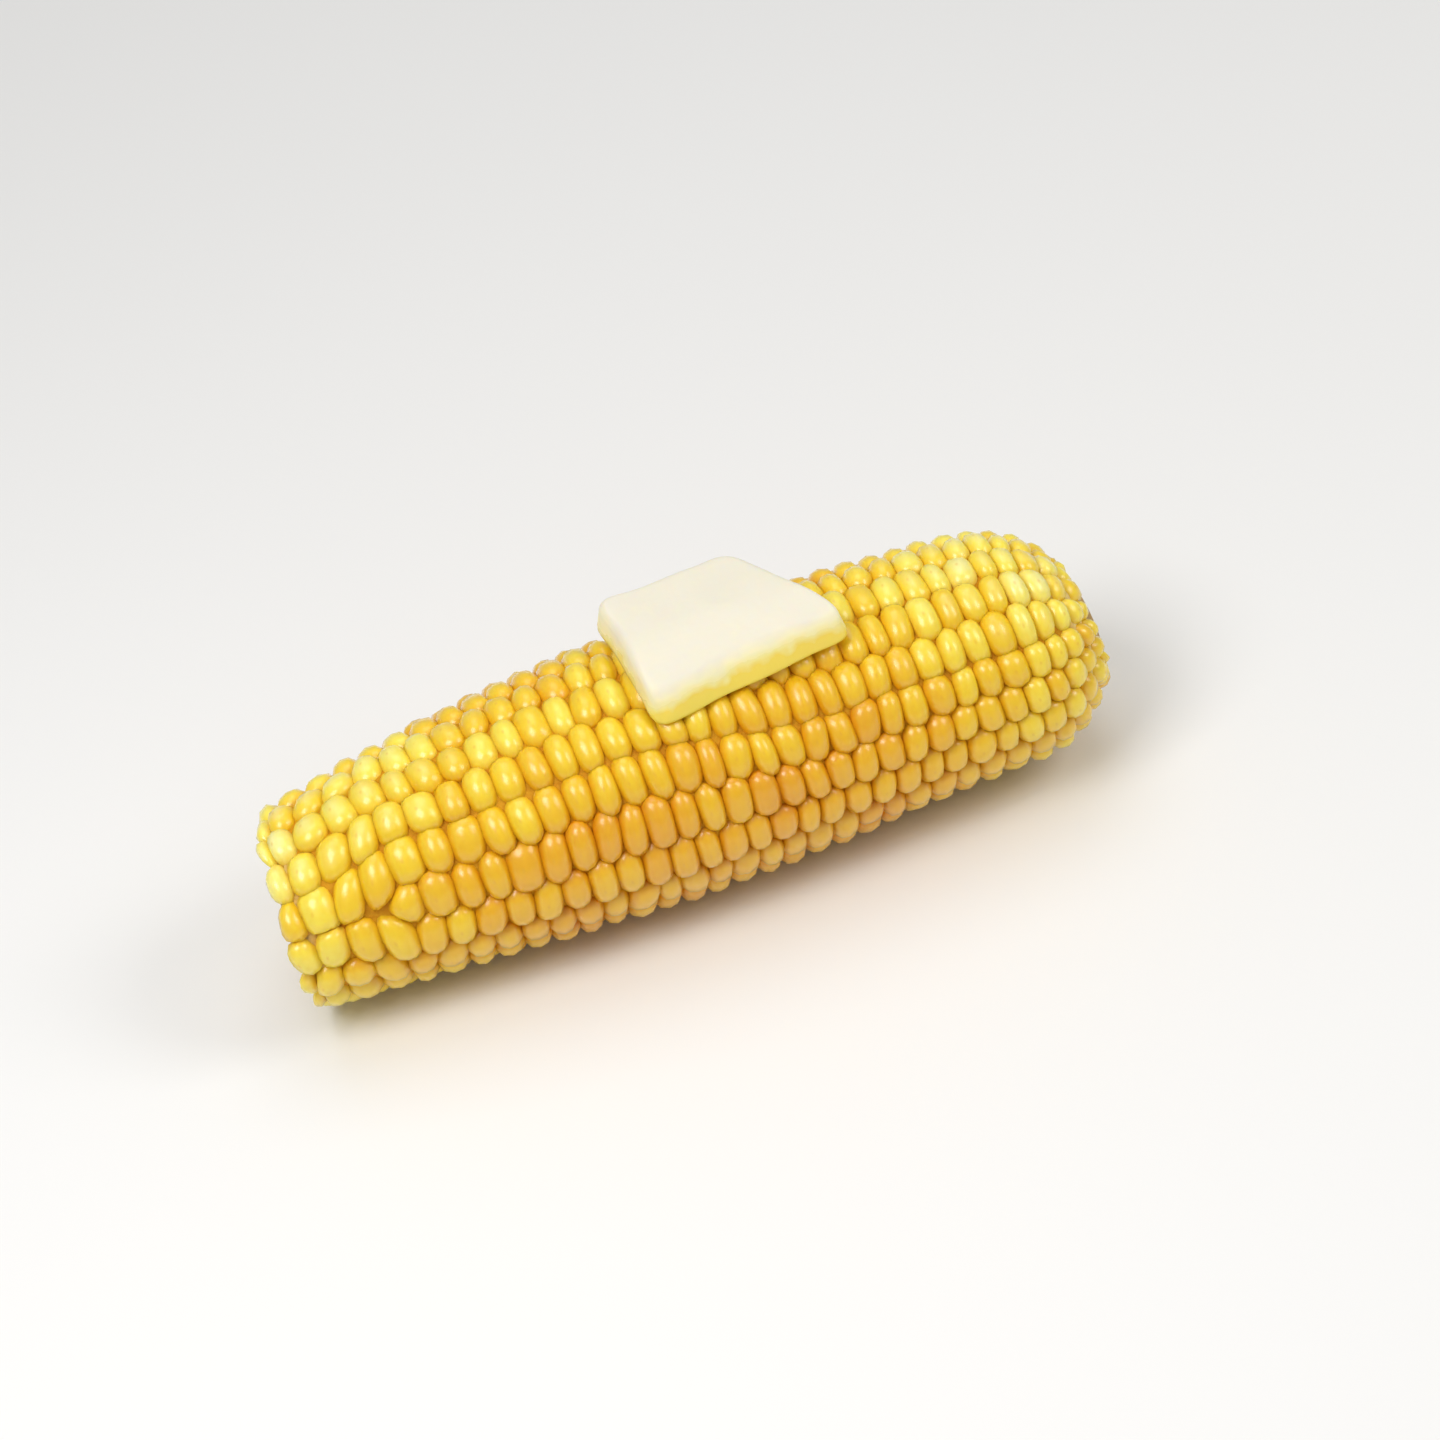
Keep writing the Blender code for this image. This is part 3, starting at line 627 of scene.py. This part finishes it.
def kernel_cage(squareness, fullness, dimple):
    """Points and faces of one kernel: a domed crown, a waist where it meets its neighbours, and a foot."""
    along = np.linspace(-1.0, 1.0, CROWN_ALONG + 1)
    across = np.linspace(-1.0, 1.0, CROWN_ACROSS + 1)
    grid = [(x, y) for x in along for y in across]
    points = []
    for x, y in grid:
        corner = (abs(x) ** squareness + abs(y) ** squareness) ** (1.0 / squareness) or 1.0
        bend = CROWN_REACH * max(abs(x), abs(y))
        out = math.sin(bend) ** (2.0 / fullness)
        rise = math.cos(bend) ** (2.0 / fullness) - dimple * math.exp(-((out / DIMPLE_WIDTH) ** 2))
        points.append((x / corner * out, y / corner * out, rise))
    index = {place: number for number, place in enumerate(grid)}
    faces = []
    for x0, x1 in zip(along, along[1:]):
        for y0, y1 in zip(across, across[1:]):
            faces.append(tuple(index[corner] for corner in ((x0, y0), (x1, y0), (x1, y1), (x0, y1))))
    rim = [(x, across[0]) for x in along[:-1]] + [(along[-1], y) for y in across[:-1]]
    rim += [(x, across[-1]) for x in along[:0:-1]] + [(along[0], y) for y in across[:0:-1]]
    edge = math.sin(CROWN_REACH) ** (2.0 / fullness)
    rim_points = [points[index[place]] for place in rim]
    upper = [index[place] for place in rim]
    for share, level in ((1.0, 0.0), (FOOT_SHARE, -1.0)):
        lower = [len(points) + step for step in range(len(rim))]
        points += [(x * share / edge, y * share / edge, level) for x, y, _ in rim_points]
        for step in range(len(rim)):
            after = (step + 1) % len(rim)
            faces.append((upper[step], lower[step], lower[after], upper[after]))
        upper = lower
    faces.append(tuple(upper[::-1]))
    return points, faces


def sum_of(tree, one, other):
    return node(tree, "ShaderNodeMath", {0: one, 1: other}, operation="ADD").outputs[0]


kernel_skin, tree, shader = new_material("cooked kernel skin", {
    "Subsurface Weight": 0.5, "Subsurface Scale": 1.0, "Coat Weight": 0.85, "Coat Roughness": 0.22,
    "Specular IOR Level": 0.36,
})
shader.inputs["Subsurface Radius"].default_value = (0.0010, 0.0009, 0.0002)
spot = node(tree, "ShaderNodeTexCoord").outputs["Object"]
along_axis = node(tree, "ShaderNodeSeparateXYZ", {0: spot}).outputs
place = node(tree, "ShaderNodeAttribute", attribute_name="kernel_place").outputs["Vector"]
level = node(tree, "ShaderNodeSeparateXYZ", {0: place}).outputs["Z"]
own_tone = node(tree, "ShaderNodeAttribute", attribute_name="kernel_tone").outputs["Fac"]
pale = 0.0
for axis, start, full, most in PALER_TOWARDS.values():
    pale = sum_of(tree, pale, eased(tree, along_axis[axis], start, full, 0.0, most))
# Each kernel's own tone plus that paleness, which is partly painted light, sets its colour
ripeness_and_light = product(tree, own_tone, OWN_TONE, pale)
for size, strength in TONE_CLOUDS:
    ripeness_and_light = product(tree, noise_on(tree, spot, size), strength, ripeness_and_light)
crown_tone = ramp(tree, ripeness_and_light, [
    (0.12, (0.80, 0.39, 0.006)), (0.38, (0.84, 0.49, 0.008)), (0.62, (0.89, 0.63, 0.020)),
    (0.80, (0.95, 0.79, 0.090)), (0.98, (0.97, 0.87, 0.270)),
])
# Partly own tone, partly painted crease shade: palest under the crown, deepening to orange in the creases
# It is weaker on the palest kernels
flesh_and_crease_shade = ramp(tree, level, [
    (0.08, (0.78, 0.50, 0.20)), (0.40, (0.92, 0.74, 0.46)), (0.72, (0.98, 0.94, 0.80)),
    (0.97, (1.0, 1.0, 1.0)),
])
skin = blended(tree, eased(tree, pale, 0.0, 0.6, 1.0, 0.45), crown_tone, flesh_and_crease_shade, "MULTIPLY")
# A painted highlight: a pale cream patch on the crown tops of the palest kernels
crown_highlight = product(tree, eased(tree, pale, 0.34, 0.62, 0.0, 0.6), eased(tree, level, 0.80, 1.0, 0.0, 1.0))
skin = blended(tree, crown_highlight, skin, CROWN_HIGHLIGHT)
# Each kernel keeps a tiny scar near its top, where its silk grew
to_scar = node(tree, "ShaderNodeVectorMath", {0: place, 1: SILK_SCAR_AT}, operation="DISTANCE")
scar = eased(tree, to_scar.outputs["Value"], 0.05, 0.14, 0.35, 0.0)
tree.links.new(blended(tree, scar, skin, SILK_SCAR), shader.inputs["Base Color"])
gloss = eased(tree, noise_on(tree, spot, GLOSS_CLOUD, 3.0), 0.3, 0.7, 0.28, 0.46)
tree.links.new(gloss, shader.inputs["Roughness"])
roughened(tree, shader, noise_on(tree, spot, WRINKLE_SIZE, 3.0), WRINKLE_DEPTH, 0.25)

kinds = []
for kind, (squareness, fullness, dimple, _) in KERNEL_KINDS.items():
    kernel = new_mesh_object(f"{kind}_kernel", *kernel_cage(squareness, fullness, dimple), kernel_skin)
    local = np.array([vertex.co for vertex in kernel.data.vertices])
    places = kernel.data.attributes.new("kernel_place", "FLOAT_VECTOR", "POINT")
    places.data.foreach_set("vector", local.ravel())
    local[:, 2] *= np.where(local[:, 2] > 0.0, CROWN_HEIGHT, KERNEL_DEPTH)
    kernel.data.vertices.foreach_set("co", local.ravel())
    kinds.append(kernel)

# A flat field with one point for each kernel: where it sits, how large it is, how loose, and of which kind
draw = random.Random(SEED + 1)
bounds_by_row = [kernel_bounds(row, draw) for row in range(ROWS)]
common = [kind[3] for kind in KERNEL_KINDS.values()]
seats, sizes, looseness, kind_numbers = [], [], [], []
for row, bounds in enumerate(bounds_by_row):
    for start, end in zip(bounds, bounds[1:]):
        if row in LATE_ROWS and start == bounds[0]:
            start += LATE_ROW_GAP * (end - start)
        along = FILL_ALONG + draw.uniform(-FILL_SPREAD, FILL_SPREAD)
        across = FILL_ACROSS + draw.uniform(-FILL_SPREAD, FILL_SPREAD)
        lift = draw.uniform(-HEIGHT_SPREAD, HEIGHT_SPREAD)
        seats.append(((start + end) / 2.0, (row + 0.5) * ROW_WIDTH, lift - CROWN_HEIGHT))
        sizes.append((along * (end - start) / 2.0, across * ROW_WIDTH / 2.0, 1.0))
        looseness.append(1.0 + TIP_LOOSENESS * math.exp(-start / TIP_PITCH_FADE))
        kind_numbers.append(draw.choices(range(len(KERNEL_KINDS)), common)[0])
field_mesh = bpy.data.meshes.new("kernels")
field_mesh.from_pydata(seats, [], [])
kernel_sizes = field_mesh.attributes.new("kernel_size", "FLOAT_VECTOR", "POINT")
kernel_sizes.data.foreach_set("vector", np.ravel(sizes))
field_mesh.attributes.new("looseness", "FLOAT", "POINT").data.foreach_set("value", looseness)
field_mesh.attributes.new("kernel_kind", "INT", "POINT").data.foreach_set("value", kind_numbers)
field = bpy.data.objects.new("kernel_field", field_mesh)
bpy.context.scene.collection.objects.link(field)

tree = bpy.data.node_groups.new("Kernels in rows", "GeometryNodeTree")
sockets = {}
for name, kind in (
    ("Geometry", "Geometry"), ("Plump Kernel", "Object"), ("Squared Kernel", "Object"),
    ("Dimpled Kernel", "Object"), ("Tilt", "Float"), ("Unevenness", "Float"), ("Uneven Size", "Float"),
    ("Uneven Range", "Float"), ("Seed", "Int"), ("Skin", "Material"),
):
    sockets[name] = tree.interface.new_socket(name=name, in_out="INPUT", socket_type=f"NodeSocket{kind}")
tree.interface.new_socket(name="Geometry", in_out="OUTPUT", socket_type="NodeSocketGeometry")
given = node(tree, "NodeGroupInput").outputs
every_kind = node(tree, "GeometryNodeJoinGeometry")
# The last link made to a join is its first geometry
for name in ("Dimpled Kernel", "Squared Kernel", "Plump Kernel"):
    kernel = node(tree, "GeometryNodeObjectInfo", {"Object": given[name], "As Instance": True})
    tree.links.new(kernel.outputs["Geometry"], every_kind.inputs[0])


def scaled(vector, amount):
    return node(tree, "ShaderNodeVectorMath", {0: vector, "Scale": amount}, operation="SCALE").outputs[0]


forward, back = given["Tilt"], product(tree, given["Tilt"], -1.0)
tilt = node(tree, "FunctionNodeRandomValue", {
    0: node(tree, "ShaderNodeCombineXYZ", {0: back, 1: back, 2: back}).outputs[0],
    1: node(tree, "ShaderNodeCombineXYZ", {0: forward, 1: forward, 2: forward}).outputs[0],
    "Seed": given["Seed"],
}, data_type="FLOAT_VECTOR").outputs[0]
leaning = scaled(tilt, point_value("looseness", "FLOAT"))
turn = node(tree, "FunctionNodeEulerToRotation", {0: leaning}).outputs[0]
rows = node(tree, "GeometryNodeInstanceOnPoints", {
    "Points": given["Geometry"], "Instance": every_kind.outputs[0], "Pick Instance": True,
    "Instance Index": point_value("kernel_kind", "INT"), "Rotation": turn,
    "Scale": point_value("kernel_size", "FLOAT_VECTOR"),
}).outputs[0]
tone = node(tree, "FunctionNodeRandomValue", {"Seed": given["Seed"]}, data_type="FLOAT").outputs[1]
toned = node(tree, "GeometryNodeStoreNamedAttribute", {
    "Geometry": rows, "Name": "kernel_tone", "Value": tone,
}, data_type="FLOAT", domain="INSTANCE").outputs[0]
real = node(tree, "GeometryNodeRealizeInstances", {0: toned}).outputs[0]
apart = product(tree, point_value("kernel_tone", "FLOAT"), given["Uneven Range"])
fineness = node(tree, "ShaderNodeMath", {0: 1.0, 1: given["Uneven Size"]}, operation="DIVIDE").outputs[0]
lumps = node(tree, "ShaderNodeTexNoise", {
    "Vector": node(tree, "GeometryNodeInputPosition").outputs[0], "W": apart, "Scale": fineness,
    "Detail": 1.0,
}, noise_dimensions="4D").outputs[1]
centred = node(tree, "ShaderNodeVectorMath", {0: lumps, 1: (0.5, 0.5, 0.5)}, operation="SUBTRACT").outputs[0]
uneven = node(tree, "GeometryNodeSetPosition", {
    "Geometry": real, "Offset": scaled(centred, given["Unevenness"]),
}).outputs[0]
smooth = node(tree, "GeometryNodeSetShadeSmooth", {0: uneven}).outputs[0]
dressed = node(tree, "GeometryNodeSetMaterial", {"Geometry": smooth, "Material": given["Skin"]}).outputs[0]
node(tree, "NodeGroupOutput", {0: dressed})

growth = field.modifiers.new("Kernels in rows", "NODES")
growth.node_group = tree
for name, value in {
    "Plump Kernel": kinds[0], "Squared Kernel": kinds[1], "Dimpled Kernel": kinds[2],
    "Tilt": KERNEL_TILT, "Unevenness": UNEVENNESS, "Uneven Size": UNEVEN_SIZE,
    "Uneven Range": UNEVEN_RANGE, "Seed": SEED + 4, "Skin": kernel_skin,
}.items():
    growth[sockets[name].identifier] = value
graph = bpy.context.evaluated_depsgraph_get()
kernels_mesh = bpy.data.meshes.new_from_object(field.evaluated_get(graph), depsgraph=graph)
for leftover in (field, *kinds):
    bpy.data.objects.remove(leftover)
flat = np.empty(len(kernels_mesh.vertices) * 3)
kernels_mesh.vertices.foreach_get("co", flat)
laid = wrapped(flat.reshape(-1, 3), row_lines())
# The lowest kernels are pressed flat by the weight of the ear
laid[:, 2] = np.maximum(laid[:, 2], 0.0)
kernels_mesh.vertices.foreach_set("co", laid.ravel())
kernels_mesh.update()
kernels = bpy.data.objects.new("kernels", kernels_mesh)
bpy.context.scene.collection.objects.link(kernels)
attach(kernels, "root")
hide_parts("corn_kernels")


# The pat of butter
# A slab cut askew from a stick, cream and dull on top. It lies across the top rows and has begun to melt:
# its edges are soft, and its near side has turned yellow and glossy where it sinks down on the kernels.

BUTTER_LEFT = -0.0080
BUTTER_LENGTH = 0.0404
BUTTER_NEAR_EDGE = -0.0156
BUTTER_FAR_EDGE = 0.0144
BUTTER_SKEW = 0.0144
BUTTER_LEFT_SLANT = 0.0018
BUTTER_NEAR_SLOPE = 0.0044
BUTTER_FAR_SLOPE = 0.0020
BUTTER_THICKNESS = 0.0056
BUTTER_THICKEST = 0.0062
BUTTER_CORNER = 0.0038
BUTTER_EDGE_ROUND = 0.0018
BUTTER_NEAR_ROUND = 0.0030
BUTTER_LEAN = 0.0010
BUTTER_NEAR_DROOP = 0.0046
# Its foot lies just over the kernels' crowns at this place along the ear
BUTTER_SEAT_AT = 0.083
BUTTER_CLEARANCE = 0.0004
# It sinks this far into the kernels' crowns
BUTTER_BITE = 0.0003
BUTTER_WAVE = 0.00035
BUTTER_WAVE_SIZE = 0.008
BUTTER_WAVE_SEED = 7
BUTTER_GRAIN = 0.0016
BUTTER_GRAIN_DEPTH = 0.0002
BUTTER_CLOUD = 0.006
CORNER_POINTS = 9
SIDE_POINTS = 14
TOP_RINGS = 7
EDGE_STEPS = 6
WALL_RINGS = 3
UNDERSIDE_RINGS = (0.8, 0.4)
# The near side has melted nearly to its top, the other sides only at their foot
MELT_DEPTH_NEAR = 0.62
MELT_DEPTH_ELSEWHERE = 1.15
MELT_LINE_SIZE = 0.0036


def toward(point, other, distance):
    """The point this far from one point towards another."""
    share = distance / math.dist(point, other)
    return tuple(a + (b - a) * share for a, b in zip(point, other))


def butter_outline():
    """The pat seen from above, with soft corners. Points go anticlockwise from the near left corner."""
    middle = TIP_X + EAR_LENGTH / 2.0
    left, right = middle + BUTTER_LEFT, middle + BUTTER_LEFT + BUTTER_LENGTH
    near, far = AXIS_Y + BUTTER_NEAR_EDGE, AXIS_Y + BUTTER_FAR_EDGE
    corners = [
        (left, near), (right, near + BUTTER_NEAR_SLOPE), (right - BUTTER_SKEW, far),
        (left - BUTTER_LEFT_SLANT, far - BUTTER_FAR_SLOPE),
    ]
    outline = []
    for index, corner in enumerate(corners):
        following = corners[(index + 1) % len(corners)]
        start = toward(corner, corners[index - 1], BUTTER_CORNER)
        end = toward(corner, following, BUTTER_CORNER)
        for t in np.linspace(0.0, 1.0, CORNER_POINTS):
            pull = ((1.0 - t) ** 2, 2.0 * t * (1.0 - t), t * t)
            outline.append(tuple(np.dot(pull, (start, corner, end)).tolist()))
        reach = toward(following, corner, BUTTER_CORNER)
        for t in np.linspace(0.0, 1.0, SIDE_POINTS + 2)[1:-1]:
            outline.append(toward(end, reach, math.dist(end, reach) * t))
    return outline


kernel_faces = [tuple(face.vertices) for face in kernels_mesh.polygons]
kernel_crowns = BVHTree.FromPolygons(laid.tolist(), kernel_faces)
outline = butter_outline()
centre = tuple(np.mean(outline, axis=0).tolist())
butter_seat = AXIS_Z + float(crown_radius(BUTTER_SEAT_AT)) + HEIGHT_SPREAD + BUTTER_CLEARANCE
butter_top = butter_seat + BUTTER_THICKNESS
# How far each point of the outline faces the near side, from 0 to 1
facing = []
for index, point in enumerate(outline):
    before, after = outline[index - 1], outline[(index + 1) % len(outline)]
    facing.append(max(0.0, (after[0] - before[0]) / math.dist(before, after)))


def butter_droop(y):
    """How far the soft slab has bent down over the near side of the ear."""
    near = max(0.0, (centre[1] - y) / (centre[1] - AXIS_Y - BUTTER_NEAR_EDGE))
    return BUTTER_NEAR_DROOP * near**2


def crown_height(x, y):
    """Height of the kernels under this place, or of the ear's middle where there are none."""
    hit = kernel_crowns.ray_cast(Vector((x, y, butter_top)), Vector((0.0, 0.0, -1.0)))[0]
    return hit.z if hit else AXIS_Z


def butter_ring(share, rounding, lean, wall):
    """One ring of the pat, and how far down each of its points lies, from 0 at the top to 1 at the foot.

    It lies this share of the way out, this far round the edge from 0 to 90 degrees, this share of the lean
    in from the foot, and this share of the way down the wall below the edge.
    """
    ring, depths = [], []
    for point, near in zip(outline, facing):
        edge = BUTTER_EDGE_ROUND + (BUTTER_NEAR_ROUND - BUTTER_EDGE_ROUND) * near
        inset = BUTTER_LEAN * lean + edge * (1.0 - math.sin(rounding))
        x, y = toward(centre, point, (math.dist(centre, point) - inset) * share)
        top = butter_top - butter_droop(y)
        under = max(top - BUTTER_THICKEST, min(top - BUTTER_THICKNESS, crown_height(x, y) - BUTTER_BITE))
        down = edge * (1.0 - math.cos(rounding))
        ring.append((x, y, top - down + (under - top + down) * wall))
        depths.append((down + (top - down - under) * wall) / (top - under))
    return ring, depths


# From the middle of the top out, round the edge, down the wall and in below
levels = [butter_ring(float(share), 0.0, 1.0, 0.0) for share in np.linspace(0.0, 1.0, TOP_RINGS + 1)[1:-1]]
for angle in np.linspace(0.0, math.pi / 2.0, EDGE_STEPS):
    levels.append(butter_ring(1.0, float(angle), 1.0, 0.0))
for step in range(1, WALL_RINGS + 1):
    levels.append(butter_ring(1.0, math.pi / 2.0, 1.0 - step / WALL_RINGS, step / WALL_RINGS))
levels += [butter_ring(share, math.pi / 2.0, 0.0, 1.0) for share in UNDERSIDE_RINGS]
count = len(outline)
points = [point for ring, _ in levels for point in ring]
points += [(*centre, butter_top), (*centre, butter_seat)]
faces = []
for ring in range(len(levels) - 1):
    for side in range(count):
        after = (side + 1) % count
        one, other = ring * count, (ring + 1) * count
        faces.append((one + side, other + side, other + after, one + after))
last = (len(levels) - 1) * count
for side in range(count):
    after = (side + 1) % count
    faces.append((len(points) - 2, side, after))
    faces.append((len(points) - 1, last + after, last + side))
noise.seed_set(BUTTER_WAVE_SEED)
placed = []
for point in points:
    wave = noise.noise_vector(Vector(point) / BUTTER_WAVE_SIZE) * BUTTER_WAVE
    placed.append(tuple(Vector(point) + wave))
melts = []
for _, depths in levels:
    for near, depth in zip(facing, depths):
        reach = MELT_DEPTH_ELSEWHERE + (MELT_DEPTH_NEAR - MELT_DEPTH_ELSEWHERE) * near
        melts.append(depth / reach)
melts += [0.0, 1.0]

butter_fat, tree, shader = new_material("butter", {
    "Subsurface Weight": 0.6, "Subsurface Scale": 1.0, "Specular IOR Level": 0.45,
})
shader.inputs["Subsurface Radius"].default_value = (0.0030, 0.0022, 0.0012)
spot = node(tree, "ShaderNodeTexCoord").outputs["Object"]
melt = node(tree, "ShaderNodeAttribute", attribute_name="melt").outputs["Fac"]
# The melt line is ragged, and a faint cloud lies over the rest
uneven_melt = eased(tree, noise_on(tree, spot, MELT_LINE_SIZE), 0.0, 1.0, 0.35, 1.65)
cloud = eased(tree, noise_on(tree, spot, BUTTER_CLOUD), 0.0, 1.0, -0.14, 0.18)
soft = eased(tree, product(tree, melt, uneven_melt, cloud), 0.0, 0.95, 0.0, 1.0)
tone = ramp(tree, soft, [
    (0.05, (0.80, 0.76, 0.63)), (0.35, (0.93, 0.86, 0.55)), (0.70, (0.96, 0.82, 0.30)),
    (1.00, (0.96, 0.72, 0.10)),
])
tree.links.new(tone, shader.inputs["Base Color"])
tree.links.new(eased(tree, soft, 0.0, 1.0, 0.48, 0.12), shader.inputs["Roughness"])
roughened(tree, shader, noise_on(tree, spot, BUTTER_GRAIN, 3.0), BUTTER_GRAIN_DEPTH, 0.3)

pat = new_mesh_object("butter", placed, faces, butter_fat)
pat.data.attributes.new("melt", "FLOAT", "POINT").data.foreach_set("value", melts)
round_off = pat.modifiers.new("Soft", "SUBSURF")
round_off.levels = round_off.render_levels = 1
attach(pat, "root")
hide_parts("butter_pat")


# The floor
# A plain pale matt surface for the ear to lie on. It isn't part of the object.

FLOOR_SIZE = 3.0
FLOOR_LEVEL = -0.0001
FLOOR_CLOUD = 0.4

floor_paint, tree, shader = new_material("pale floor", {"Roughness": 0.6})
spot = node(tree, "ShaderNodeTexCoord").outputs["Object"]
tone = ramp(tree, noise_on(tree, spot, FLOOR_CLOUD), [(0.0, (0.84, 0.84, 0.83)), (1.0, (0.88, 0.88, 0.87))])
tree.links.new(tone, shader.inputs["Base Color"])
corners = []
for x, y in ((-0.5, -0.5), (0.5, -0.5), (0.5, 0.5), (-0.5, 0.5)):
    corners.append((x * FLOOR_SIZE, y * FLOOR_SIZE, FLOOR_LEVEL))
floor = new_mesh_object("floor", corners, [(0, 1, 2, 3)], floor_paint)


# The light
# Three soft lamps over the ear, one from the right, a nearer one from the left and a large one from above
# and behind, and an even pale surround.

EAR_MIDDLE = Vector((0.0, 0.0, 0.025))
# For each lamp its azimuth and elevation in degrees, distance, width, power and colour
LAMPS = {
    "right": (60.0, 44.0, 1.0, 0.45, 2.8, (1.0, 0.99, 0.97)),
    "left": (-54.0, 58.0, 0.60, 0.30, 1.9, (1.0, 0.98, 0.97)),
    "top": (170.0, 70.0, 1.2, 0.8, 3.0, (1.0, 1.0, 1.0)),
}
SURROUND_STRENGTH = 0.36


def soft_lamp(name, azimuth, elevation, distance, size, power, colour):
    """A square soft lamp that faces the ear. Azimuth 0 is on the near side, 90 on the right."""
    data = bpy.data.lights.new(name, "AREA")
    data.size = size
    data.energy = power
    data.color = colour
    lamp = bpy.data.objects.new(name, data)
    a, e = math.radians(azimuth), math.radians(elevation)
    away = Vector((math.sin(a) * math.cos(e), -math.cos(a) * math.cos(e), math.sin(e)))
    lamp.location = EAR_MIDDLE + away * distance
    lamp.rotation_euler = away.to_track_quat("Z", "Y").to_euler()
    bpy.context.scene.collection.objects.link(lamp)


for name, settings in LAMPS.items():
    soft_lamp(name, *settings)
world = bpy.data.worlds.new("surround")
world.use_nodes = True
surround = world.node_tree.nodes["Background"]
surround.inputs["Color"].default_value = (1.0, 1.0, 1.0, 1.0)
surround.inputs["Strength"].default_value = SURROUND_STRENGTH
bpy.context.scene.world = world
bpy.context.scene.view_settings.view_transform = "Standard"


# The camera
# Above the near side of the ear and a little towards its tip end, tipped over so that the ear climbs to the
# right. It stands far off with a long lens.

PHOTO_SIDE = 1440
PIXEL = 0.00018
VIEW_YAW = math.radians(12.0)
VIEW_DROP = math.radians(41.0)
VIEW_ROLL = math.radians(11.3)
# The middle of the frame lies this many of the photo's pixels to the right of the ear's middle and above it
AIM_RIGHT = 40.5
AIM_UP = 35.4
AIM_HEIGHT = 0.0246
CAMERA_DISTANCE = 1.2
SENSOR = 36.0

view = Vector((math.sin(VIEW_YAW), math.cos(VIEW_YAW), 0.0)) * math.cos(VIEW_DROP)
view.z = -math.sin(VIEW_DROP)
level_right = Vector((math.cos(VIEW_YAW), -math.sin(VIEW_YAW), 0.0))
level_up = level_right.cross(view)
right = level_right * math.cos(VIEW_ROLL) - level_up * math.sin(VIEW_ROLL)
up = level_right * math.sin(VIEW_ROLL) + level_up * math.cos(VIEW_ROLL)
aim = Vector((0.0, 0.0, AIM_HEIGHT)) + (right * AIM_RIGHT + up * AIM_UP) * PIXEL
place = aim - view * CAMERA_DISTANCE
lens = bpy.data.cameras.new("camera")
lens.sensor_width = SENSOR
lens.lens = SENSOR * CAMERA_DISTANCE / (PHOTO_SIDE * PIXEL)
camera = bpy.data.objects.new("camera", lens)
rows = [(right[axis], up[axis], -view[axis], place[axis]) for axis in range(3)]
camera.matrix_world = Matrix(rows + [(0.0, 0.0, 0.0, 1.0)])
bpy.context.scene.collection.objects.link(camera)
bpy.context.scene.camera = camera
